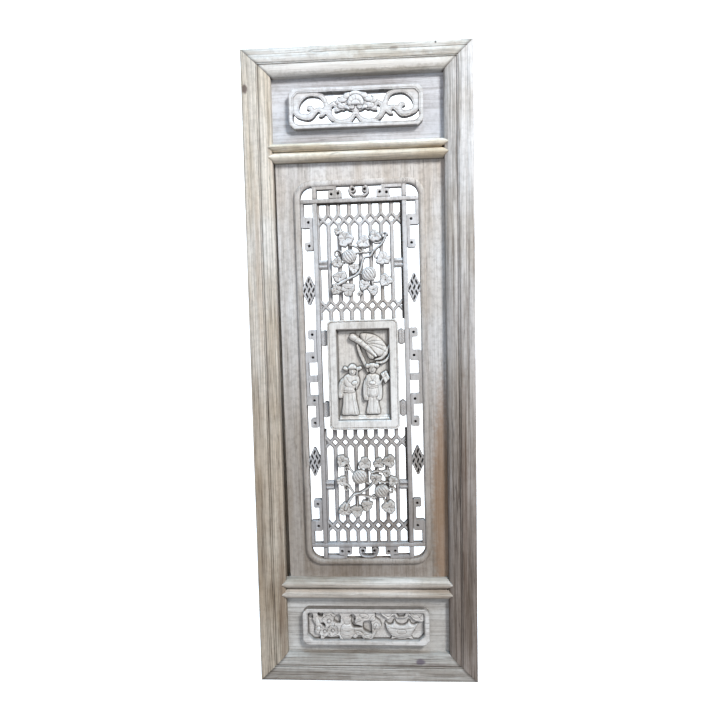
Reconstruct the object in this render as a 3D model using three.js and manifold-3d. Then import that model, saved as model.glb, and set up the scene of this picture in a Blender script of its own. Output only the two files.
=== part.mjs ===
// Carved wooden lattice leaf: a mitred frame, two double-roll rails, a pierced scroll plaque,
// a fretwork lattice with two gourd carvings and a figure panel, and a relief plaque below.
// Millimetres, +Z up. The origin is the middle of the top rail's back face; the wall is at +Y.
import * as THREE from "three";
import { mergeVertices } from "three/addons/utils/BufferGeometryUtils.js";
import Module from "manifold-3d";

const wasm = await Module();
wasm.setup();

// Overall frame
const FRAME_WIDTH = 480;
const FRAME_HEIGHT = 1362;
const FRAME_DEPTH = 45;
const STILE_WIDTH = 60;
const TOP_RAIL_WIDTH = 56;
const BOTTOM_RAIL_WIDTH = 59;

// Frame moulding: flat outer band, sunk bead, then a convex ovolo down to the opening
const OUTER_BAND = 31;
const BEAD_WIDTH = 4.5;
const BEAD_SINK = 1.6;
const EDGE_ROUND = 3;
const OVOLO_DROP = 12;

// Fields and the double-roll rails between them
const TOP_FIELD = 135;
const BOTTOM_FIELD = 124;
const UPPER_RAIL_WIDTH = 40;
const LOWER_RAIL_WIDTH = 46;
const UPPER_ROLL_SHARE = 0.46;
const LOWER_ROLL_SHARE = 0.5;
const ROLL_SEAT = 28;
const ROLL_CREST = 43;
const ROLL_POINT = 8;
const ROLL_VALLEY = 3;

// Boards and the grooves that hold them; heights are measured forward from the back plane
const BOARD_BACK = 8;
const BOARD_THICKNESS = 14;
const TONGUE = 4;
const GROOVE_ROOM = 5;
const JOINT = 0.3;

// Middle leaf
const LEAF_TILT = THREE.MathUtils.degToRad(0.4);
const LEAF_GAP = 6;
const PATTERN_OFFSET_X = 2.5;
const PATTERN_DROP = 3;
const PICTURE_RISE = 3;
const CLEAT_SHARE = 0.654;
const CLEAT_RISE = 6;
const RING_WIDTH = 13;
const RING_HEIGHT = 30;
const RING_SHOULDER = 4;
const RING_RADIUS = 24;
const LEAF_SIDE = 41.5;
const LEAF_MARGIN = 33;

// Lattice
const LATTICE_BACK = 12;
const LATTICE_FRONT = 28;
const BAR_WIDTH = 10;
const SIDE_CHANNEL = 25.5;
const CROSS_BAR_WIDTH = 9;
const END_CHANNEL = 26;
const LATTICE_COLUMNS = 8;
const SLAT_WIDTH = 8.8;
const LOZENGE_HEIGHT = 22;
const LOZENGE_BAND = 7.2;
const LOZENGE_SINK = 6;
const LOZENGE_ROWS = [0.12, 0.86];
const FRET_HOLE = 3.2;
const FRET_EYE_FLOOR = 3;
const FRET_CORNER = 2.5;
const FRET_STRIP = 6.5;
const FRET_CURL_SHARE = 0.72;
const FRET_EYE_SHARE = 0.35;
const FRET_MIDDLE_DROP = 4.5;
const KNOT_EYE_WIDTH = 4;
const KNOT_EYE_HEIGHT = 8;
const SCROLL_BAND = 5;
const BAMBOO_ROD = 10;
const BAMBOO_LEVEL = 0.595;
const CLEAT_LEAF = 7;

// Picture panel
const PICTURE_GAP = 14;
const PICTURE_HEIGHT = 237;
const PICTURE_BORDER_X = 19;
const PICTURE_BORDER_Y = 20;
const PICTURE_FRONT = 38;
const PICTURE_GROUND = 23;
const PICTURE_CORNER = 8;

// Plaques and appliques
const PLAQUE_FRONT = 38;
const PLAQUE_CORNER = 12;
const RIM_BEARING = 6;
const RIM_LAP = 2;
const SCROLL_THICKNESS = 9;
const SCROLL_SINK = 2;
const BOSS_RISE = 4;
const TOP_PLAQUE_WIDTH = 279;
const TOP_PLAQUE_HEIGHT = 82;
const TOP_PLAQUE_RIM = 9;
const TOP_PLAQUE_OFFSET = -2.5;
const TOP_PLAQUE_RISE = 1;
const BOTTOM_PLAQUE_WIDTH = 281;
const BOTTOM_PLAQUE_HEIGHT = 83;
const BOTTOM_PLAQUE_RIM = 11.5;
const BOTTOM_PLAQUE_TOP_RIM = 8;
const BOTTOM_PLAQUE_OFFSET = -4;
const BOTTOM_PLAQUE_RISE = -1;
const BOTTOM_PLAQUE_GROUND = 27;
const RELIEF_SINK = 4;
const RELIEF_RISE = 3;
const APPLIQUE_FRONT = 37;
const APPLIQUE_DROP = 2.25;

// Places that follow from the sizes above; y is height, measured from the origin
const halfWidth = FRAME_WIDTH / 2;
const openHalf = halfWidth - STILE_WIDTH;
const topEdge = TOP_RAIL_WIDTH / 2;
const bottomEdge = topEdge - FRAME_HEIGHT;
const openTop = topEdge - TOP_RAIL_WIDTH;
const openBottom = bottomEdge + BOTTOM_RAIL_WIDTH;
const upperRailTop = openTop - TOP_FIELD;
const upperRailBottom = upperRailTop - UPPER_RAIL_WIDTH;
const lowerRailBottom = openBottom + BOTTOM_FIELD;
const lowerRailTop = lowerRailBottom + LOWER_RAIL_WIDTH;
const boardFront = BOARD_BACK + BOARD_THICKNESS;
const grooveDepth = TONGUE + GROOVE_ROOM;
const leafMiddle = (upperRailBottom + lowerRailTop) / 2 - PATTERN_DROP;
const fieldHalfX = openHalf - LEAF_SIDE - RING_WIDTH;
const fieldHalfY = (upperRailBottom - lowerRailTop) / 2 - LEAF_MARGIN - RING_WIDTH;
const barOuter = fieldHalfX - SIDE_CHANNEL;
const barInner = barOuter - BAR_WIDTH;
const lozengeFront = LATTICE_FRONT - LOZENGE_SINK;
const crossTop = fieldHalfY - END_CHANNEL;
const crossBottom = crossTop - CROSS_BAR_WIDTH;
const pictureHalfX = barInner - PICTURE_GAP;
const pictureHalfY = PICTURE_HEIGHT / 2;
const appliqueMiddle = (pictureHalfY + crossBottom) / 2 - APPLIQUE_DROP;

// Solids are drawn as seen from the front: x right, y up, z forward from the back plane.

/** Turns a closed geometry into a solid that can be joined and cut. */
function solidOf(geometry) {
  const bare = geometry.clone();
  bare.deleteAttribute("normal");
  bare.deleteAttribute("uv");
  const merged = mergeVertices(bare, 1e-4);
  return new wasm.Manifold(new wasm.Mesh({
    numProp: 3,
    vertProperties: new Float32Array(merged.attributes.position.array),
    triVerts: new Uint32Array(merged.index.array),
  }));
}

/** Turns a solid back into a geometry. */
function geometryOf(solid) {
  const mesh = solid.getMesh();
  const geometry = new THREE.BufferGeometry();
  geometry.setAttribute("position", new THREE.BufferAttribute(mesh.vertProperties, 3));
  geometry.setIndex(new THREE.BufferAttribute(mesh.triVerts, 1));
  geometry.computeVertexNormals();
  return geometry;
}

const joined = (solids) => solids.reduce((whole, piece) => whole.add(piece));
const cut = (solid, tools) => tools.reduce((rest, tool) => rest.subtract(tool), solid);
const both = (solid) => [solid, solid.mirror([1, 0, 0])];

/** A flat plate with the given outline between two heights. */
function plate(outline, low, high) {
  const shape = new THREE.Shape(outline.map(([x, y]) => new THREE.Vector2(x, y)));
  const geometry = new THREE.ExtrudeGeometry(shape, { depth: high - low, bevelEnabled: false });
  return solidOf(geometry.translate(0, 0, low));
}

/** A rectangular block given by its limits. */
function block(x0, x1, y0, y1, low, high) {
  const geometry = new THREE.BoxGeometry(x1 - x0, y1 - y0, high - low);
  return solidOf(geometry.translate((x0 + x1) / 2, (y0 + y1) / 2, (low + high) / 2));
}

/** A round pin between two heights, used to drill holes. */
function drill(x, y, radius, low = 0, high = FRAME_DEPTH) {
  const geometry = new THREE.CylinderGeometry(radius, radius, high - low, 6);
  return solidOf(geometry.rotateX(Math.PI / 2).translate(x, y, (low + high) / 2));
}

/** Points of an arc from one angle to another, in degrees. */
function arc(cx, cy, rx, ry, from, to, steps) {
  return Array.from({ length: steps + 1 }, (_, i) => {
    const angle = THREE.MathUtils.degToRad(from + ((to - from) * i) / steps);
    return [cx + rx * Math.cos(angle), cy + ry * Math.sin(angle)];
  });
}

/** A rectangle with round corners about a centre. */
function roundedBox(halfX, halfY, radius, steps, cx = 0, cy = 0) {
  const corners = [[1, 1, 0], [-1, 1, 90], [-1, -1, 180], [1, -1, 270]];
  return corners.flatMap(([sx, sy, from]) => arc(
    cx + sx * (halfX - radius), cy + sy * (halfY - radius), radius, radius, from, from + 90, steps));
}

/** A rectangle whose corners are stepped in like the ends of a begonia panel. */
function begoniaBox(halfX, halfY, notch) {
  const corners = [[1, 1], [-1, 1], [-1, -1], [1, -1]];
  return corners.flatMap(([sx, sy]) => {
    const steps = [[0, 1], [0.42, 0.8], [0.55, 0.55], [0.8, 0.42], [1, 0]];
    const points = steps.map(([a, b]) => [sx * (halfX - notch * (1 - a)), sy * (halfY - notch * (1 - b))]);
    return sx * sy > 0 ? points.reverse() : points;
  });
}

/** Joins equal loops of points into one closed solid; the outline gives the two end faces. */
function loft(sections, outline) {
  const count = outline.length;
  const contour = outline.map(([x, y]) => new THREE.Vector2(x, y));
  const caps = THREE.ShapeUtils.triangulateShape(contour, []);
  const clockwise = THREE.ShapeUtils.isClockWise(contour);
  const last = (sections.length - 1) * count;
  const index = [];
  caps.forEach((cap) => {
    const [a, b, c] = clockwise ? cap.reverse() : cap;
    index.push(a, b, c, last + a, last + c, last + b);
  });
  for (let ring = 0; ring < sections.length - 1; ring += 1) {
    for (let i = 0; i < count; i += 1) {
      const a = ring * count + i;
      const b = ring * count + ((i + 1) % count);
      index.push(a, a + count, b, b, a + count, b + count);
    }
  }
  const points = sections.flat();
  const volume = index.reduce((sum, _, i) => (i % 3 ? sum
    : sum + points[index[i]].dot(points[index[i + 1]].clone().cross(points[index[i + 2]]))), 0);
  const geometry = new THREE.BufferGeometry().setFromPoints(points);
  geometry.setIndex(volume < 0 ? index.reverse() : index);
  return solidOf(geometry);
}

/** Sections of a carved band: upright sides with a ridge, or a plain ridge. */
const ridged = ({ low, edge, crest }) => [[-0.5, low], [-0.5, edge], [0, crest], [0.5, edge], [0.5, low]];
const pitched = ({ low, crest }) => [[-0.5, low], [0, crest], [0.5, low]];

/**
 * A carved band along a smooth route. It is full width at the middle and narrows to the given
 * shares of it at its start and end.
 */
function ribbon(route, { width, start = 1, end = 1, steps = 8, section = ridged, ...heights }) {
  const curve = new THREE.CatmullRomCurve3(route.map(([x, y]) => new THREE.Vector3(x, y, 0)), false,
    "centripetal");
  const outline = section(heights);
  const sections = Array.from({ length: steps + 1 }, (_, i) => {
    const along = i / steps;
    const at = curve.getPointAt(along);
    const heading = curve.getTangentAt(along);
    const taper = along < 0.5
      ? THREE.MathUtils.lerp(start, 1, along * 2)
      : THREE.MathUtils.lerp(1, end, along * 2 - 1);
    return outline.map(([side, height]) => new THREE.Vector3(
      at.x - heading.y * side * width * taper, at.y + heading.x * side * width * taper, height));
  });
  return loft(sections, outline);
}

/** A low dome whose outline is given by a radius for each direction, with upright sides. */
function dome(x, y, radiusAt, { low, edge, crest, turn = 0, sides = 10 }) {
  const points = [new THREE.Vector3(x, y, low), new THREE.Vector3(x, y, crest)];
  const index = [];
  for (let i = 0; i < sides; i += 1) {
    const angle = (i / sides) * 2 * Math.PI;
    const radius = radiusAt(angle);
    const px = x + radius * Math.cos(angle + turn);
    const py = y + radius * Math.sin(angle + turn);
    points.push(new THREE.Vector3(px, py, low), new THREE.Vector3(px, py, edge));
    const a = 2 + 2 * i;
    const b = 2 + 2 * ((i + 1) % sides);
    index.push(0, b, a, a, b, a + 1, b, b + 1, a + 1, a + 1, b + 1, 1);
  }
  const geometry = new THREE.BufferGeometry().setFromPoints(points);
  geometry.setIndex(index);
  return solidOf(geometry);
}

/** An oval boss. */
function oval(x, y, rx, ry, heights, turn = 0, sides = 6) {
  const radiusAt = (angle) => (rx * ry) / Math.hypot(ry * Math.cos(angle), rx * Math.sin(angle));
  return dome(x, y, radiusAt, { ...heights, turn, sides });
}

/** A leaf with three blunt lobes, pointing along its turn. */
function leaf([x, y, reach, degrees], heights) {
  const radiusAt = (angle) => reach * (1 + 0.14 * Math.cos(3 * angle));
  return dome(x, y, radiusAt, { ...heights, turn: THREE.MathUtils.degToRad(degrees), sides: 6 });
}

/** A gourd: a rounded fruit with a narrower crown. */
function gourd([x, y, radius], { low, edge, crest }) {
  const body = dome(x, y, () => radius, { low, edge, crest: edge + 1, sides: 10 });
  const crown = dome(x, y, () => radius * 0.72, { low, edge: (edge + crest) / 2, crest, sides: 7 });
  return body.add(crown);
}

/** Section of a frame member: u runs inward from the outer edge, z forward. */
function memberSection(width) {
  const scale = width / STILE_WIDTH;
  const ovoloStart = OUTER_BAND + BEAD_WIDTH;
  const ovoloFoot = FRAME_DEPTH - OVOLO_DROP;
  const section = [
    [0, 0],
    [0, FRAME_DEPTH - EDGE_ROUND],
    [EDGE_ROUND * 0.3, FRAME_DEPTH - EDGE_ROUND * 0.3],
    [EDGE_ROUND, FRAME_DEPTH],
    [OUTER_BAND, FRAME_DEPTH],
    [OUTER_BAND + BEAD_WIDTH * 0.2, FRAME_DEPTH - BEAD_SINK],
    [OUTER_BAND + BEAD_WIDTH * 0.5, FRAME_DEPTH - BEAD_SINK * 0.4],
    [OUTER_BAND + BEAD_WIDTH * 0.8, FRAME_DEPTH - BEAD_SINK],
    ...arc(ovoloStart, ovoloFoot, STILE_WIDTH - ovoloStart, OVOLO_DROP - BEAD_SINK * 0.3, 90, 0, 5),
    [STILE_WIDTH, boardFront + JOINT],
    [STILE_WIDTH - grooveDepth, boardFront + JOINT],
    [STILE_WIDTH - grooveDepth, BOARD_BACK - JOINT],
    [STILE_WIDTH, BOARD_BACK - JOINT],
    [STILE_WIDTH, 0],
  ];
  return section.map(([u, z]) => [u * scale, z]);
}

/** A stile between the two mitres; side is -1 for the left one and 1 for the right one. */
function stile(side) {
  const section = memberSection(STILE_WIDTH);
  const x = (u) => side * (halfWidth - u);
  const low = section.map(([u, z]) => new THREE.Vector3(
    x(u), bottomEdge + (u * BOTTOM_RAIL_WIDTH) / STILE_WIDTH, z));
  const high = section.map(([u, z]) => new THREE.Vector3(
    x(u), topEdge - (u * TOP_RAIL_WIDTH) / STILE_WIDTH, z));
  const pockets = [upperRolls(JOINT), lowerRolls(JOINT)];
  return cut(loft([low, high], section), pockets);
}

/** A top or bottom rail; up is 1 at the top of the frame and -1 at its foot. */
function endRail(width, edge, up) {
  const section = memberSection(width);
  const end = (sign) => section.map(([u, z]) => new THREE.Vector3(
    sign * (halfWidth - (u * STILE_WIDTH) / width - JOINT), edge - up * u, z));
  return loft([end(-1), end(1)], section);
}

/** Plan of one roll with its pointed ends, grown by a clearance where it enters the stiles. */
function rollPlan(low, high, grow) {
  const middle = (low + high) / 2;
  const valley = openHalf - ROLL_VALLEY + grow;
  const point = openHalf + ROLL_POINT + grow;
  return [
    [-valley, low], [valley, low], [point, middle], [valley, high], [-valley, high], [-point, middle],
  ];
}

/** One half-round roll, or the pocket for it when it is grown. */
function roll(low, high, grow) {
  const plan = plate(rollPlan(low, high, grow), ROLL_SEAT - grow, FRAME_DEPTH + grow);
  if (grow > 0) return plan;
  const middle = (low + high) / 2;
  const section = arc(middle, ROLL_SEAT, (high - low) / 2, ROLL_CREST - ROLL_SEAT, 0, 180, 7);
  const ends = [-halfWidth, halfWidth].map((x) => section.map(([y, z]) => new THREE.Vector3(x, y, z)));
  return loft(ends, section).intersect(plan);
}

/** The pair of rolls on a mid rail, split at a share of its width. */
function rolls(top, bottom, share, grow) {
  const split = THREE.MathUtils.lerp(top, bottom, share);
  return roll(split, top, grow).add(roll(bottom, split, grow));
}
const upperRolls = (grow) => rolls(upperRailTop, upperRailBottom, UPPER_ROLL_SHARE, grow);
const lowerRolls = (grow) => rolls(lowerRailTop, lowerRailBottom, LOWER_ROLL_SHARE, grow);

/** A rail across the frame, grooved above and below for the boards. */
function midRail(top, bottom, rollPair) {
  const core = block(-openHalf, openHalf, bottom, top, 0, ROLL_SEAT);
  const groove = (low, high) => block(
    -halfWidth, halfWidth, low, high, BOARD_BACK - JOINT, boardFront + JOINT);
  return cut(core, [groove(top - grooveDepth, top + 1), groove(bottom - 1, bottom + grooveDepth)])
    .add(rollPair(0));
}

/** A board in the grooves around one field. */
function fieldBoard(low, high) {
  const reach = openHalf + TONGUE;
  return block(-reach, reach, low - TONGUE, high + TONGUE, BOARD_BACK, boardFront);
}

/** The leaf's four planks around the lattice, cut from one plate with rounded opening. */
function leafPlanks() {
  const left = -openHalf + LEAF_GAP - PATTERN_OFFSET_X;
  const right = openHalf + TONGUE - PATTERN_OFFSET_X;
  const top = upperRailBottom + TONGUE - leafMiddle;
  const bottom = lowerRailTop - TONGUE - leafMiddle;
  const ringX = fieldHalfX + RING_WIDTH;
  const ringY = fieldHalfY + RING_WIDTH;
  const corner = RING_RADIUS + RING_WIDTH + JOINT;
  const hole = plate(roundedBox(ringX + JOINT, ringY + JOINT, corner, 4), 0, FRAME_DEPTH);
  const joint = -ringY + RING_WIDTH / 2;
  const plank = (x0, x1, y0, y1) => block(x0, x1, y0, y1, BOARD_BACK, boardFront).subtract(hole);
  const foot = -ringY + corner;
  return {
    leaf_board_left: plank(left, -ringX - JOINT, joint + JOINT, top)
      .add(plank(left, -ringX + corner, joint + JOINT, foot)),
    leaf_board_right: plank(ringX + JOINT, right, joint + JOINT, top)
      .add(plank(ringX - corner, right, joint + JOINT, foot)),
    leaf_board_top: plank(-ringX, ringX, 0, top),
    leaf_board_bottom: plank(left, right, bottom, joint),
  };
}

/** One mitred side of the rounded border; facing is the side's outward angle in degrees. */
function ringSide(facing) {
  const half = RING_WIDTH / 2;
  const shoulder = RING_HEIGHT - RING_SHOULDER;
  const outline = [
    [-half, LATTICE_BACK], [-half, shoulder], [-half * 0.7, RING_HEIGHT - 1], [0, RING_HEIGHT],
    [half * 0.7, RING_HEIGHT - 1], [half, shoulder], [half, LATTICE_BACK],
  ];
  const radius = RING_RADIUS + half;
  const miter = THREE.MathUtils.radToDeg(JOINT / 2 / radius);
  const quarter = Math.PI / 4;
  const middle = THREE.MathUtils.degToRad(facing);
  const bend = (side) => {
    const corner = middle + side * quarter;
    const cx = Math.sign(Math.cos(corner)) * (fieldHalfX - RING_RADIUS);
    const cy = Math.sign(Math.sin(corner)) * (fieldHalfY - RING_RADIUS);
    const stations = arc(cx, cy, radius, radius, facing + side * (45 - miter), facing, 2);
    return stations.map(([x, y]) => ({ x, y, nx: (x - cx) / radius, ny: (y - cy) / radius }));
  };
  const stations = [...bend(1), ...bend(-1).reverse()];
  const sections = stations.map(({ x, y, nx, ny }) => outline.map(
    ([out, z]) => new THREE.Vector3(x + nx * out, y + ny * out, z)));
  return loft(sections, outline);
}

/** Where bars cross, the level bar keeps its front half and the upright one its back half. */
const halvingHeight = (LATTICE_BACK + LATTICE_FRONT) / 2;
function levelBar(side) {
  const y0 = side > 0 ? crossBottom : -crossTop;
  const reach = fieldHalfX - JOINT;
  const bar = block(-reach, reach, y0, y0 + CROSS_BAR_WIDTH, LATTICE_BACK, LATTICE_FRONT);
  const notch = block(
    barInner - JOINT, barOuter + JOINT, y0 - 1, y0 + CROSS_BAR_WIDTH + 1, 0, halvingHeight);
  return cut(bar, both(notch));
}
function uprightBar(side) {
  const reach = fieldHalfY - JOINT;
  const bar = block(barInner, barOuter, -reach, reach, LATTICE_BACK, LATTICE_FRONT);
  const low = halvingHeight - JOINT;
  const notch = (y0) => block(
    barInner - 1, barOuter + 1, y0 - JOINT, y0 + CROSS_BAR_WIDTH + JOINT, low, FRAME_DEPTH);
  const whole = cut(bar, [notch(crossBottom), notch(-crossTop)]);
  return side > 0 ? whole : whole.mirror([1, 0, 0]);
}

/** The pierced lozenge lattice between the upright bars, from the picture panel to a cross bar. */
function lozengeLattice(pictureEdge) {
  const reach = barInner - JOINT;
  const low = pictureEdge + JOINT;
  const high = crossBottom - JOINT;
  const pitch = (2 * barInner) / LATTICE_COLUMNS;
  const half = LOZENGE_HEIGHT / 2;
  const inset = LOZENGE_BAND * 0.6;
  const rows = LOZENGE_ROWS.map((share) => THREE.MathUtils.lerp(low, high, share));
  const slotHalf = (pitch - SLAT_WIDTH) / 2;
  const holes = [];
  for (let column = 0; column < LATTICE_COLUMNS; column += 1) {
    const x = (column - (LATTICE_COLUMNS - 1) / 2) * pitch;
    const outer = column === 0 || column === LATTICE_COLUMNS - 1;
    const wall = slotHalf + (outer ? SLAT_WIDTH : 0);
    const left = x - (column === 0 ? wall : slotHalf);
    const right = x + (column === LATTICE_COLUMNS - 1 ? wall : slotHalf);
    const foot = (y, edge, side) => y + side * ((half * Math.abs(edge - x)) / (pitch / 2) + inset);
    const slot = (y0, y1) => {
      const lower = y0 === null
        ? [[left, low - 1], [right, low - 1]]
        : [[left, foot(y0, left, 1)], [x, y0 + inset], [right, foot(y0, right, 1)]];
      const upper = y1 === null
        ? [[right, high + 1], [left, high + 1]]
        : [[right, foot(y1, right, -1)], [x, y1 - inset], [left, foot(y1, left, -1)]];
      holes.push(plate([...lower, ...upper], 0, FRAME_DEPTH));
    };
    slot(null, rows[0]);
    slot(rows[0], rows[1]);
    slot(rows[1], null);
  }
  for (let line = 0; line <= LATTICE_COLUMNS; line += 1) {
    const x = (line - LATTICE_COLUMNS / 2) * pitch;
    const wide = pitch / 2 - inset;
    rows.forEach((y) => holes.push(plate(
      [[x - wide, y], [x, y - half + inset], [x + wide, y], [x, y + half - inset]], 0, FRAME_DEPTH)));
  }
  return cut(block(-reach, reach, low, high, LATTICE_BACK, lozengeFront), [joined(holes)]);
}

/** A block of fret with rounded corners and a drilled eye. */
function fretBlock(x0, x1, y0, y1, eyeX, eyeY) {
  const body = plate(roundedBox((x1 - x0) / 2, (y1 - y0) / 2, FRET_CORNER, 1, (x0 + x1) / 2, (y0 + y1) / 2),
    LATTICE_BACK, LATTICE_FRONT);
  return body.subtract(drill(eyeX, eyeY, FRET_HOLE, LATTICE_BACK + FRET_EYE_FLOOR));
}
const channelInner = barOuter + JOINT;
const channelOuter = fieldHalfX - JOINT;
const channelWidth = channelOuter - channelInner;
const level = (share) => share * fieldHalfY;
const curlWidth = channelWidth * FRET_CURL_SHARE;
const fretEyeX = channelInner + channelWidth * FRET_EYE_SHARE;
const strip = (x0, x1, y0, y1) => block(x0, x1, y0, y1, LATTICE_BACK, LATTICE_FRONT);

/** Key fret at one end of a side channel, from the cross bar down to its curl. */
function cornerFret() {
  return joined([
    fretBlock(channelInner, channelOuter, level(0.787), level(0.845), fretEyeX, level(0.817)),
    strip(channelOuter - FRET_STRIP, channelOuter, level(0.83), crossBottom - JOINT),
    strip(channelInner, channelInner + FRET_STRIP, level(0.7), level(0.8)),
    fretBlock(channelInner, channelInner + curlWidth, level(0.67), level(0.715), fretEyeX, level(0.694)),
  ]);
}

/** Key fret at the middle of a side channel, alike above and below its cross bar. */
function middleFret() {
  const arm = joined([
    strip(channelInner, channelOuter, 0, level(0.018)),
    strip(channelOuter - FRET_STRIP, channelOuter, 0, level(0.1)),
    fretBlock(channelInner, channelOuter, level(0.088), level(0.145), fretEyeX, level(0.116)),
    strip(channelInner, channelInner + FRET_STRIP, level(0.135), level(0.22)),
    fretBlock(channelInner, channelInner + curlWidth, level(0.212), level(0.264), fretEyeX, level(0.238)),
  ]);
  return arm.add(arm.mirror([0, 1, 0]));
}

/** A lozenge knot across the side channel with interlaced eyes. */
function channelKnot() {
  const cx = (channelInner + channelOuter) / 2;
  const cy = level(0.462);
  const tall = level(0.074);
  const wide = channelWidth / 2;
  const flat = 1.5;
  const body = plate([
    [cx - wide, cy - flat], [cx - flat, cy - tall], [cx + flat, cy - tall], [cx + wide, cy - flat],
    [cx + wide, cy + flat], [cx + flat, cy + tall], [cx - flat, cy + tall], [cx - wide, cy + flat],
  ], LATTICE_BACK, LATTICE_FRONT);
  const eye = (dx, dy) => {
    const x = cx + dx * wide;
    const y = cy + dy * tall;
    const halfX = KNOT_EYE_WIDTH / 2;
    const halfY = KNOT_EYE_HEIGHT / 2;
    return plate([[x - halfX, y], [x, y - halfY], [x + halfX, y], [x, y + halfY]], 0, FRAME_DEPTH);
  };
  return cut(body, [[0, 0], [0.42, 0], [-0.42, 0], [0, 0.42], [0, -0.42]].map(([dx, dy]) => eye(dx, dy)));
}

/** Key fret of an end channel: a strip on the border, a stem and a double curl. */
function endFret() {
  const low = crossTop + JOINT;
  const high = fieldHalfY - JOINT;
  const across = (share) => share * barInner;
  const up = (share) => THREE.MathUtils.lerp(low, high, share);
  const body = joined([
    strip(across(0.53), barInner, high - FRET_STRIP, high),
    strip(across(0.53), across(0.53) + FRET_STRIP, up(0.5), up(0.9)),
    fretBlock(across(0.41), across(0.73), low, up(0.67), across(0.49), up(0.39)),
  ]);
  return body.subtract(drill(across(0.65), up(0.35), FRET_HOLE, LATTICE_BACK + FRET_EYE_FLOOR));
}

/** The pair of inward curls in the middle of an end channel, drawn in shares of its height. */
function endScroll(low, high) {
  const heights = { low: LATTICE_BACK, edge: LATTICE_FRONT - 2, crest: LATTICE_FRONT };
  const tall = high - low;
  const at = ([x, y]) => [x * tall, low + y * tall];
  const bend = [[-0.04, 0.12], [0.43, 0.14], [0.73, 0.42], [0.67, 0.8], [0.39, 0.88], [0.28, 0.55]];
  const post = (x0, x1, y0, y1) => block(
    x0 * tall, x1 * tall, low + y0 * tall, low + y1 * tall, LATTICE_BACK, LATTICE_FRONT - 2);
  const curl = ribbon(bend.map(at), { width: SCROLL_BAND, ...heights, steps: 7 });
  return joined([...both(curl.add(post(0.43, 0.59, 0.88, 1))), post(-0.12, 0.12, 0, 0.2)]);
}

/** A small cleat of two bamboo joints beside the lattice. */
function bambooCleat() {
  const pitch = (2 * barInner) / LATTICE_COLUMNS;
  const x0 = barInner - pitch + SLAT_WIDTH / 2 + JOINT;
  const x1 = barInner - JOINT;
  const heights = { low: LATTICE_BACK, edge: lozengeFront, crest: lozengeFront + 4, steps: 2 };
  const rod = (side) => {
    const y = level(BAMBOO_LEVEL) + (side * BAMBOO_ROD) / 2;
    return ribbon([[x0, y], [(x0 + x1) / 2, y], [x1, y]], { width: BAMBOO_ROD + JOINT, ...heights });
  };
  return rod(-1).add(rod(1));
}

/** A leaf-shaped cleat between the picture panel and an upright bar. */
function leafCleat() {
  const x0 = pictureHalfX + JOINT;
  const x1 = barInner - JOINT;
  const cx = (x0 + x1) / 2;
  const half = (x1 - x0) * 0.42;
  const y = pictureHalfY * CLEAT_SHARE;
  const heights = { low: LATTICE_BACK, edge: LATTICE_FRONT - 1, crest: LATTICE_FRONT + 3 };
  return joined([
    block(x0, x1, y - CLEAT_LEAF * 0.85, y + CLEAT_LEAF * 0.85, LATTICE_BACK, LATTICE_FRONT - 1),
    oval(cx, y + CLEAT_LEAF, half, CLEAT_LEAF, heights),
    oval(cx, y - CLEAT_LEAF, half, CLEAT_LEAF, heights),
  ]);
}

/** Fits a carving that was drawn for one size to the size of its panel. */
const fitted = (solid, width, height, [drawnWidth, drawnHeight]) => solid.scale(
  [width / drawnWidth, height / drawnHeight, 1]);

/** A begonia-cornered frame round a plaque; its top side may differ from the others. */
function plaqueRim(width, height, rim, topRim, low) {
  const outer = plate(begoniaBox(width / 2, height / 2, PLAQUE_CORNER), boardFront, PLAQUE_FRONT);
  const halfHeight = (height - rim - topRim) / 2;
  const inner = plate(begoniaBox(width / 2 - rim, halfHeight, PLAQUE_CORNER), low, FRAME_DEPTH);
  return outer.subtract(inner.translate([0, (rim - topRim) / 2, 0]));
}

/** The area inside a plaque that its carving may fill, lapping onto the rim. */
const plaqueInside = (width, height, low, high) => plate(
  begoniaBox(width / 2 - RIM_LAP, height / 2 - RIM_LAP, PLAQUE_CORNER), low, high);

/** Openings right through the scroll plaque, right of its middle, as outlines. */
const SCROLL_DRAWN = [279, 82];
const SCROLL_OPENINGS = {
  eye: [
    [67, 3], [69, 15], [81, 24], [97, 25], [112, 17], [118, 3], [114, -8], [98, -9], [96, -4], [103, 0],
    [97, 6], [86, 0],
  ],
  wedge: [
    [48, -31], [62, -12], [74, -18], [78, -15], [76, -7], [92, -21], [106, -23], [130, -10], [131, -24],
    [124, -31],
  ],
  gusset: [[11, 32], [74, 32], [63, 24], [57, 11], [41, 14], [38, 20], [27, 23], [16, 28]],
  cup: [
    [7, -8], [12, -19], [28, -25], [42, -21], [50, -6], [47, 3], [44, -7], [30, -5], [20, -3], [14, -6],
  ],
};

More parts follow.
